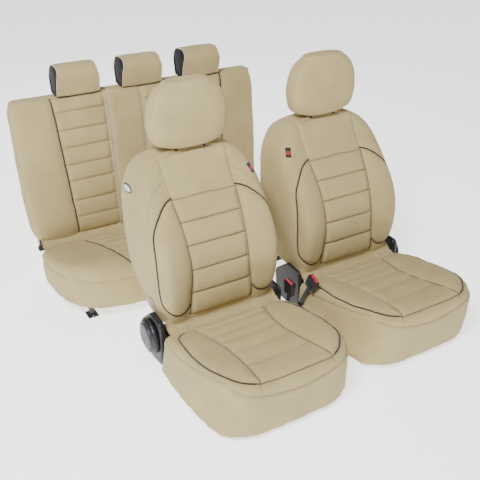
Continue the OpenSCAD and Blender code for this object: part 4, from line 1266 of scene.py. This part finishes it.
def make_bench_back(name, x_out, x_split, seams_x, zip_x=None):
    """One part of the bench backrest. seams_x: the pairs of lines that its ribs lie between."""
    heights = np.linspace(0.134, 0.838, int(0.704 / BENCH_GRID))
    span = abs(x_out - x_split)
    fine = lambda length: max(2, int(round(length / BENCH_GRID)))
    counts = [2, 2, fine(0.3 * span), fine(0.3 * span), fine(0.4 * span - 0.060), fine(0.042), 7, 8, 6,
              fine(0.04), fine(0.4 * span - 0.06) // 2, fine(0.3 * span) // 2, fine(0.3 * span) // 2, 2, 2, 7, 7]
    rings = []
    side = math.copysign(1, x_out)
    for z in heights:
        ring = spline(bench_section(side * float(BENCH_SIDE(np.array(z))), x_split, z), counts)
        if side < 0:
            ring = ring[::-1]
        rings.append(np.column_stack([ring, np.full(len(ring), z)]))
    rings = np.array(rings)
    ends = np.linspace(0.12, 1.45, 9)
    low = [bench_cap(rings[0], k, -0.010) for k in ends]
    high = [bench_cap(rings[-1], k, 0.018) for k in ends[::-1]]
    skin = skin_of(np.array([bench_flat(low[0])] + low + list(rings) + high + [bench_flat(high[-1])]))
    p = skin.p
    facing = (p[:, 1] < BENCH_FRONT(p[:, 2]) + 0.012) & (p[:, 2] < 0.85)
    amount = np.zeros(len(p))
    held = np.clip(1 - np.abs(p[:, 0] - x_split) / 0.03, 0, 1)
    for low_line, high_line in seams_x:
        low_x, high_x = line_x(low_line, p[:, 2]), line_x(high_line, p[:, 2])
        between = (p[:, 0] > low_x) & (p[:, 0] < high_x) & facing
        fall = smooth(np.minimum(p[:, 0] - low_x, high_x - p[:, 0]), 0.0, 0.026)
        height = 0.005 + 0.005 * smooth(p[:, 2], 0.25, 0.34)
        amount += rib_puff(p[:, 2], BENCH_SEAMS) * fall * height * between
        for z in BENCH_SEAMS:
            held = np.maximum(held, np.clip(1 - np.abs(p[:, 2] - z) / 0.014, 0, 1) * between)
        for line in (low_x, high_x):
            held = np.maximum(held, np.clip(1 - np.abs(p[:, 0] - line) / 0.014, 0, 1) * facing)
    pipe_gap = np.abs(np.abs(p[:, 0]) - BENCH_PIPE(p[:, 2]))
    outer = (np.abs(p[:, 0]) > BENCH_PIPE(p[:, 2])) & facing
    amount += 0.007 * smooth(pipe_gap, 0.0, 0.04) ** 0.7 * outer
    if zip_x is not None:
        strip = (p[:, 0] > x_split) & (p[:, 0] < zip_x) & facing
        amount += 0.004 * strip * smooth(np.minimum(p[:, 0] - x_split, zip_x - p[:, 0]), 0.0, 0.03)
    held = np.maximum(held, np.clip((p[:, 2] - 0.80) / 0.03, 0, 1))
    held = np.maximum(held, np.clip((0.19 - p[:, 2]) / 0.03, 0, 1))
    skin.swell(0.2 + 0.8 * held, 0.005)
    skin.push(amount + 0.0013 * ripples(p, 0.2, 9) + 0.0005 * ripples(p, 0.06, 10))
    body = name + "_back"
    foam_block(skin, name + "_back_filling", bench_place, body, [name + "_back_foam"], 0.016)
    tree = skin.tree()
    ahead = (0, 1, 0)
    levels = np.linspace(0.152, 0.850, 150)
    across, uprights = [], []
    for low_line, high_line in seams_x:
        for z in BENCH_SEAMS[:-1]:
            xs = np.linspace(line_x(low_line, z), line_x(high_line, z), 110)
            across.append(lay(tree, [(x, 0.9, z) for x in xs], ahead))
    pipes = [lay(tree, [(side_x(s, z), 0.9, z) for z in levels], ahead)
             for s in (-1, 1) if (s < 0) == (name == "narrow")]
    outer_edge = side * 0.60
    gusset = [lay(tree, [(outer_edge * 1.2, float(BENCH_FRONT(np.array(z))) + 0.030, z)
                         for z in levels[8:-8]],
                  (-side, 0, 0))]
    if zip_x is not None:
        uprights.append(lay(tree, [(zip_x, 0.9, z) for z in levels], ahead))
    skin.sew(across, 0.0040, 0.0054)
    skin.sew(pipes, 0.0034, 0.0058)
    skin.sew(gusset, 0.0020, 0.0045)
    skin.sew(uprights, 0.0040, 0.0080)
    cover = skin.mesh(name + "_back_covering", bench_place, finish["cover_cloth"])
    own(cover, body, [name + "_back_cover"])
    tree = skin.tree()
    parts = [tube(calm(snap(tree, path, PIPING_R * 0.45)), PIPING_R, 8) for path in pipes]
    trim_piece(name + "_back_piping", parts, bench_place, "piping_cord", body)
    light = [tube(calm(snap(tree, path, 0.0002)), 0.0009, 5) for path in across + gusset]
    trim_piece(name + "_back_light_seams", light, bench_place, "stitch_thread", body)
    rows = stitches(tree, pipes, 0.0062, (0, -1, 0)) + stitches(tree, pipes, -0.0062, (0, -1, 0))
    trim_piece(name + "_back_stitches", rows, bench_place, "stitch_thread", body)
    edge_x = x_split + math.copysign(0.007, x_out - x_split)
    zips = [(name + "_split_zip", edge_x)] + ([(name + "_middle_zip", zip_x)] if zip_x is not None else [])
    for zip_name, x in zips:
        line = lay(tree, [(x, 0.9, z) for z in levels], ahead)
        piece = make_zip(zip_name, tree, line, body)
        if zip_name == "wide_middle_zip":
            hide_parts("wide_back_zip")


def line_x(line, z):
    return line(np.asarray(z, float)) if callable(line) else line


def side_x(s, z):
    return s * float(BENCH_PIPE(np.array(z)))


def bench_cap(ring, turn, reach):
    """The ring drawn in towards its own middle line, for a rounded upper or lower edge."""
    k = math.sin(turn)
    out = ring.copy()
    middle_y = 0.5 * (ring[:, 1].min() + ring[:, 1].max())
    out[:, 1] = middle_y + (ring[:, 1] - middle_y) * k
    low, high = ring[:, 0].min(), ring[:, 0].max()
    inset = 0.5 * (ring[:, 1].max() - ring[:, 1].min()) * (1 - k) * 0.5
    out[:, 0] = np.interp(ring[:, 0], (low, high), (low + inset * (abs(low) > abs(high)), high - inset
                                                    * (abs(high) > abs(low))))
    out[:, 2] += reach * math.cos(turn)
    return out


def bench_flat(ring):
    out = ring.copy()
    out[:, 1] = 0.5 * (ring[:, 1].min() + ring[:, 1].max())
    return out


def make_zip(name, tree, line, body):
    """A zip: two strips of tape and a row of coils between them."""
    line = calm(snap(tree, line, 0.0008), 4)
    line = evenly(line, 0.0048)
    coils = []
    for here, after in zip(line[:-1], line[1:]):
        middle = 0.5 * (here + after)
        aside = np.array([1.0, 0, 0]) * 0.0021
        up = unit(np.cross(after - here, [1.0, 0, 0])) * 0.0006
        if up[1] > 0:
            up = -up
        coils.append(tube([middle - aside, middle + up, middle + aside], [0.0008, 0.0013, 0.0008], 5))
    tapes = []
    for s in (-1, 1):
        for step in (0.0032, 0.0050):
            path = snap(tree, line + np.array([s * step, 0, 0]), 0.0003)
            tapes.append(tube(calm(path), 0.0014, 6))
    trim_piece(name + "_coils", coils, bench_place, "zip_coil", body)
    return trim_piece(name + "_tape", tapes, bench_place, "zip_tape", body)


BENCH_RIBS = (0.545, 0.604, 0.690, 0.776, 0.862, 0.948, 1.000)
BENCH_CURVE = profile((0.545, 0.340), (0.600, 0.345), (0.661, 0.355), (0.984, 0.412), (1.000, 0.415))


def bench_top(x, y):
    rise = profile((0.497, 0.207), (0.560, 0.206), (0.700, 0.193), (0.860, 0.166), (0.960, 0.139),
                   (0.992, 0.131), (1.000, 0.128))
    return rise(y) + 0.008 * smooth(np.abs(x), 0.44, 0.56) * smooth(y, 0.56, 0.64) * smooth(-y, -0.99, -0.92)


def make_bench_cushion():
    outline = spline([(0.0, 0.496), (0.15, 0.496), (0.347, 0.507), (0.475, 0.537), (0.560, 0.585),
                      (0.612, 0.657), (0.641, 0.747), (0.654, 0.857), (0.655, 0.930), (0.643, 0.972),
                       (0.620, 1.000)], 16)
    shape = CushionShape(outline, 0.60, (0.620, 1.000), bench_top, 0.044, BENCH_GRID,
                         lambda rim: np.full(len(rim), 0.004))
    skin = shape.skin
    p = skin.p
    on_top = np.zeros(len(p), bool)
    on_top[:shape.hem_start] = True
    pipe = BENCH_CURVE(p[:, 1])
    pipe_gap = np.abs(np.abs(p[:, 0]) - pipe)
    panel = (np.abs(p[:, 0]) < pipe) & on_top
    held = np.clip(1 - pipe_gap / 0.015, 0, 1) * on_top
    for y in BENCH_RIBS:
        held = np.maximum(held, np.clip(1 - np.abs(p[:, 1] - y) / 0.014, 0, 1) * panel)
    held = np.maximum(held, np.clip(1 - (p[:, 2] - 0.02) / 0.03, 0, 1))
    skin.swell(0.2 + 0.8 * held, 0.006)
    p = skin.p
    fall = smooth(pipe - np.abs(p[:, 0]), 0.0, 0.03)
    ribs = rib_puff(p[:, 1], BENCH_RIBS, 0.85) * fall * 0.0090 * panel
    beyond = on_top * (np.abs(p[:, 0]) > pipe) * smooth(p[:, 1], 0.53, 0.6)
    outer = 0.006 * smooth(pipe_gap, 0.0, 0.04) ** 0.7 * beyond
    skin.push(ribs + outer + (0.0013 * ripples(p, 0.2, 11) + 0.0005 * ripples(p, 0.06, 12))
              * smooth(p[:, 2], 0.0, 0.03))
    foam_block(skin, "bench_cushion_filling", bench_place, "floor_fixings", ["bench_cushion_foam"], 0.016,
               0.045)
    tree = skin.tree()
    down = (0, 0, -1)
    share = np.linspace(-1, 1, 190)
    across = [lay(tree, [(x, y, 0.9) for x in share * float(BENCH_CURVE(np.array(y)))], down)
              for y in BENCH_RIBS[:-1]]
    levels = np.linspace(0.545, 0.990, 100)
    pipes = [lay(tree, [(s * float(BENCH_CURVE(np.array(y))), y, 0.9) for y in levels], down)
             for s in (-1, 1)]
    band = []
    for s in (-1, 1):
        band.append(lay(tree, [(s * 1.2, y, 0.145 - 0.05 * (y - 0.60)) for y in np.linspace(0.66, 0.965, 90)],
                        (-s, 0, 0)))
    band.append(lay(tree, [(x, 0.2, 0.145) for x in np.linspace(-0.600, 0.600, 260)], (0, 1, 0)))
    skin.sew(across, 0.0030, 0.0050)
    skin.sew(pipes, 0.0034, 0.0058)
    skin.sew(band, 0.0036, 0.0055)
    cover = skin.mesh("bench_cushion_covering", bench_place, finish["cover_cloth"])
    own(cover, "floor_fixings", ["bench_cushion_cover"])
    tree = skin.tree()
    parts = [tube(calm(snap(tree, path, PIPING_R * 0.45)), PIPING_R, 8) for path in pipes]
    trim_piece("bench_cushion_piping", parts, bench_place, "piping_cord", "floor_fixings")
    light = [tube(calm(snap(tree, path, 0.0002)), 0.0009, 5) for path in across + band]
    trim_piece("bench_cushion_light_seams", light, bench_place, "stitch_thread", "floor_fixings")
    rows = stitches(tree, pipes, 0.0062, (0, 0, 1)) + stitches(tree, pipes, -0.0062, (0, 0, 1))
    trim_piece("bench_cushion_stitches", rows, bench_place, "stitch_thread", "floor_fixings")


# ---------------------------------------------------------------- bench head restraints

HEAD_CIRCLES = [(1.132, 0.872, 0.020), (1.182, 0.872, 0.018), (1.138, 0.952, 0.046), (1.186, 0.962, 0.032)]
HEAD_X = {"outer": -0.323, "middle": 0.010, "inner": 0.343}


def make_bench_head(name, x):
    body = name + "_head"
    ring = convex_ring(HEAD_CIRCLES, 240)
    ring = evenly(np.vstack([ring, ring[:1]]), 0.0040)[:-1]
    middle = ring.mean(axis=0)
    outward = unit(ring - middle)
    narrower = 1 - 0.09 * smooth(ring[:, 1], 0.920, 0.990)     # towards the top

    def slab(half, inset, ends):
        """The pad's or cover's rounded block: stations (x share, how far it is drawn in)."""
        rings = []
        for share, drawn in ends:
            rings.append(np.column_stack([x + share * half * narrower, ring - outward * (inset + drawn)]))
        return np.array(rings)

    # dark pad, crowned at both ends
    turn = np.linspace(0, math.pi / 2, 7)
    ends = [(1.0 - 0.09 * (1 - math.cos(t)), 0.007 * (1 - math.sin(t))) for t in turn]
    stations = [(s, d) for s, d in ends] + [(-s, d) for s, d in ends[::-1]]
    grid = slab(0.1110, 0.0030, stations)
    grid = np.vstack([cap_rings(grid[0], 0.004), grid, cap_rings(grid[-1], -0.004)[::-1]])
    index = np.arange(grid[..., 0].size).reshape(grid.shape[:2])
    faces = grid_faces(np.hstack([index, index[:, :1]])).tolist()
    pad = weld(trim_piece(name + "_head_filling", [(grid.reshape(-1, 3), faces)], bench_place, "pad_cloth",
                       body))
    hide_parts(name + "_head_pad")
    # saddle cover: a padded band over the pad, open below
    across = np.linspace(-1, 1, 49)
    crown = 0.0035 * (1 - across**4)
    keep = ring[:, 1] > 0.8580
    start = int(np.argmax(~keep)) if not keep.all() else 0
    order = np.roll(np.arange(len(ring)), -start)
    order = order[keep[order]]
    outer = np.array([[(x + a * 0.1055 * narrower[k], *(ring[k] + outward[k] * c))
                       for a, c in zip(across, crown)] for k in order])
    inner = np.array([[(x + a * 0.1055 * narrower[k], *(ring[k] - outward[k] * 0.0022)) for a in across]
                      for k in order])
    rows, columns = outer.shape[:2]
    a = np.arange(rows * columns).reshape(rows, columns)
    b = a + rows * columns
    faces = grid_faces(a).tolist() + grid_faces(b)[:, ::-1].tolist()
    for one, two in ((a[0], b[0]), (b[-1], a[-1]), (b[:, 0], a[:, 0]), (a[:, -1], b[:, -1])):
        faces += [[one[k], one[k + 1], two[k + 1], two[k]] for k in range(len(one) - 1)]
    points = np.vstack([outer.reshape(-1, 3), inner.reshape(-1, 3)])
    points += 0.0005 * ripples(points, 0.05, 13)[:, None]
    at = lengths(outer)[:, :1] + np.zeros((rows, columns))
    flat = np.stack([np.broadcast_to(across * 0.1055, (rows, columns)), at], axis=2)
    flat = np.vstack([flat.reshape(-1, 2)] * 2)
    cover = weld(add_mesh(name + "_head_covering", points, [[int(k) for k in f] for f in faces], bench_place,
                          finish["cover_cloth"], flat[np.array(faces).ravel()]))
    own(cover, body, [name + "_head_cover"])
    edges = [tube(outer[:, k], 0.0024, 8) for k in (0, -1)]
    trim_piece(name + "_head_binding", edges, bench_place, "zip_tape", body)
    rows = []
    for k in (3, -4):
        path = evenly(outer[:, k], STITCH_STEP)
        ahead = unit(np.gradient(path, axis=0))
        lift = unit(path - [x, middle[0], middle[1]]) * STITCH_R
        for here, forward, up in zip(path, ahead, lift):
            reach = forward * STITCH_LONG / 2
            rows.append(tube([here + up - reach, here + up, here + up + reach], STITCH_R, 4))
    trim_piece(name + "_head_stitches", rows, bench_place, "stitch_thread", body)


def cap_rings(ring, bulge):
    """Rings that close an end, from its middle outwards, with a slight crown."""
    middle = ring.mean(axis=0)
    out = []
    for share in (0.0, 0.2, 0.45, 0.7, 0.88):
        step = middle + (ring - middle) * share
        step[:, 0] = ring[0, 0] + bulge * (1 - share**2)
        out.append(step)
    return np.array(out)


# ---------------------------------------------------------------- badge, tags and label

def patch(tree, centre, ray, across, along, thick, outline, lift=0.0):
    """A thin piece that lies on a skin. outline: (u, v) pairs, in the directions across and along."""
    centre, across, along = np.array(centre, float), np.array(across, float), np.array(along, float)
    rings = []
    profile = ((1.0, 0.0), (1.0, 0.5), (0.97, 0.85), (0.9, 1.0), (0.6, 1.0), (0.3, 1.0), (0.0, 1.0))
    for share, height in profile:
        ring = []
        for u, v in outline:
            start = centre + across * u * share + along * v * share
            spot, normal, _, _ = tree.ray_cast(Vector(start) - Vector(ray), Vector(ray))
            if spot is None:
                spot, normal = Vector(start), -Vector(ray)
            ring.append(np.array(spot) + np.array(normal) * (lift + thick * height - 0.0006 * (height == 0)))
        rings.append(ring)
    grid = np.array(rings)
    index = np.arange(grid[..., 0].size).reshape(grid.shape[:2])
    return grid.reshape(-1, 3), grid_faces(np.hstack([index, index[:, :1]])).tolist()


def oval(wide, high, count=48):
    turn = np.linspace(0, 2 * math.pi, count, endpoint=False)
    return [(wide * math.cos(a), high * math.sin(a)) for a in turn]


def oblong(wide, high, count=10):
    u = np.linspace(-1, 1, count)
    return ([(wide * k, -high) for k in u[:-1]] + [(wide, high * k) for k in u[:-1]]
            + [(-wide * k, high) for k in u[:-1]] + [(-wide, -high * k) for k in u[:-1]])


def make_marks(side, place, tree):
    body = side + "_back"
    inward = (1, 0, 0)
    spot = (-0.5, 0.378, 0.662)
    rim = patch(tree, spot, inward, (0, 1, 0), (0, 0, 1), 0.0022, oval(0.0450, 0.0165))
    piece = trim_piece(side + "_badge_rim", [rim], place, "badge_rim", body)
    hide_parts(side + "_side_badge")
    face = patch(tree, spot, inward, (0, 1, 0), (0, 0, 1), 0.0030, oval(0.0355, 0.0108))
    trim_piece(side + "_badge_face", [face], place, "badge", body)
    slanted, along = (-0.42, 0.9075, 0), (0.9075, 0.42, 0)
    tag = patch(tree, (0.240, 0.280, 0.682), slanted, along, (0, 0, 1), 0.0018, oblong(0.0125, 0.0180))
    piece = trim_piece(side + "_tag", [tag], place, "tag_cloth", body)
    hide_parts(side + "_shoulder_tag")
    band = patch(tree, (0.240, 0.280, 0.680), slanted, along, (0, 0, 1), 0.0022, oblong(0.0126, 0.0070))
    trim_piece(side + "_tag_band", [band], place, "tag_red", body)
    spot = (-0.5, 0.205, 0.178)
    border = patch(tree, spot, inward, (0, 1, 0), (0, 0, 1), 0.0010, oblong(0.0200, 0.0400))
    trim_piece(side + "_label_border", [border], place, "tag_cloth", body)
    face = patch(tree, spot, inward, (0, 1, 0), (0, 0, 1), 0.0014, oblong(0.0150, 0.0360))
    trim_piece(side + "_label_face", [face], place, "label_cloth", body)


# ---------------------------------------------------------------- carried-over CAD nodes

for node, body_name in [(n["node"], n["material_slot"]) for n in frame["record"]["subparts"]]:
    piece = frame["nodes"][node]
    piece.data.materials.clear()
    piece.data.materials.append(finish[body_name])

right, left = seat_place("right"), seat_place("left")
for side, place in (("right", right), ("left", left)):
    skin, back_tree = make_back(side, place)
    make_marks(side, place, back_tree)
    make_cushion(side, place)
    make_front_tuck(side, place)
    make_headrest(side, place)
    make_hardware(side, place)
narrow_pipe = lambda z: -BENCH_PIPE(np.asarray(z, float))
make_bench_back("narrow", -1.0, SPLIT - SPLIT_EDGE, [(narrow_pipe, SPLIT - 0.014)])
make_bench_back("wide", 1.0, SPLIT + SPLIT_EDGE, [(ZIP_X, BENCH_PIPE)], ZIP_X)
make_bench_cushion()
make_bench_tucks()
for name, x in HEAD_X.items():
    make_bench_head(name, x)

# ---------------------------------------------------------------- stage, camera and light

low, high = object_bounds()
centre = (low + high) / 2


def plain(name, colour, rough, glow):
    made = material(name, colour, rough, Emission_Strength=glow)
    made.node_tree.nodes["Principled BSDF"].inputs["Emission Color"].default_value = (1, 1, 1, 1)
    n = Nodes(made)
    n.put("Roughness", n.span(n.noise(3.0), rough - 0.05, rough + 0.05))
    return made


def add_floor():
    data = bpy.data.meshes.new("floor")
    size = 30.0
    corners = [(-size, -size, 0), (size, -size, 0), (size, size, 0), (-size, size, 0)]
    data.from_pydata(corners, [], [(0, 1, 2, 3)])
    data.materials.append(plain("pale_floor", (0.93, 0.93, 0.93), 0.7, 1.7))
    floor = bpy.data.objects.new("floor", data)
    bpy.context.scene.collection.objects.link(floor)


def add_light(name, at, size, watts, colour=(1, 1, 1)):
    data = bpy.data.lights.new(name, "AREA")
    data.size, data.energy, data.color = size, watts, colour
    lamp = bpy.data.objects.new(name, data)
    lamp.location = at
    lamp.rotation_euler = (centre - Vector(at)).to_track_quat("-Z", "Y").to_euler()
    bpy.context.scene.collection.objects.link(lamp)


def add_camera():
    data = bpy.data.cameras.new("camera")
    data.lens, data.sensor_width = 51.92, 36.0
    data.clip_end = 60.0
    camera = bpy.data.objects.new("camera", data)
    camera.location = Vector(right.origin.tolist()) + Vector((-1.2103, -2.1080, 1.8508))
    camera.rotation_euler = (math.radians(90 - 28.76), 0, math.radians(-30.58))
    bpy.context.scene.collection.objects.link(camera)
    bpy.context.scene.camera = camera


add_floor()
add_light("key", (-2.4, -2.0, 4.0), 1.3, 310)
add_light("fill", (3.0, -2.4, 2.2), 2.6, 10)
add_light("back_light", (0.4, 3.4, 3.2), 2.6, 70)
world = bpy.data.worlds.new("studio")
world.use_nodes = True
world.node_tree.nodes["Background"].inputs["Color"].default_value = (1, 1, 1, 1)
world.node_tree.nodes["Background"].inputs["Strength"].default_value = 0.22
bpy.context.scene.world = world
add_camera()
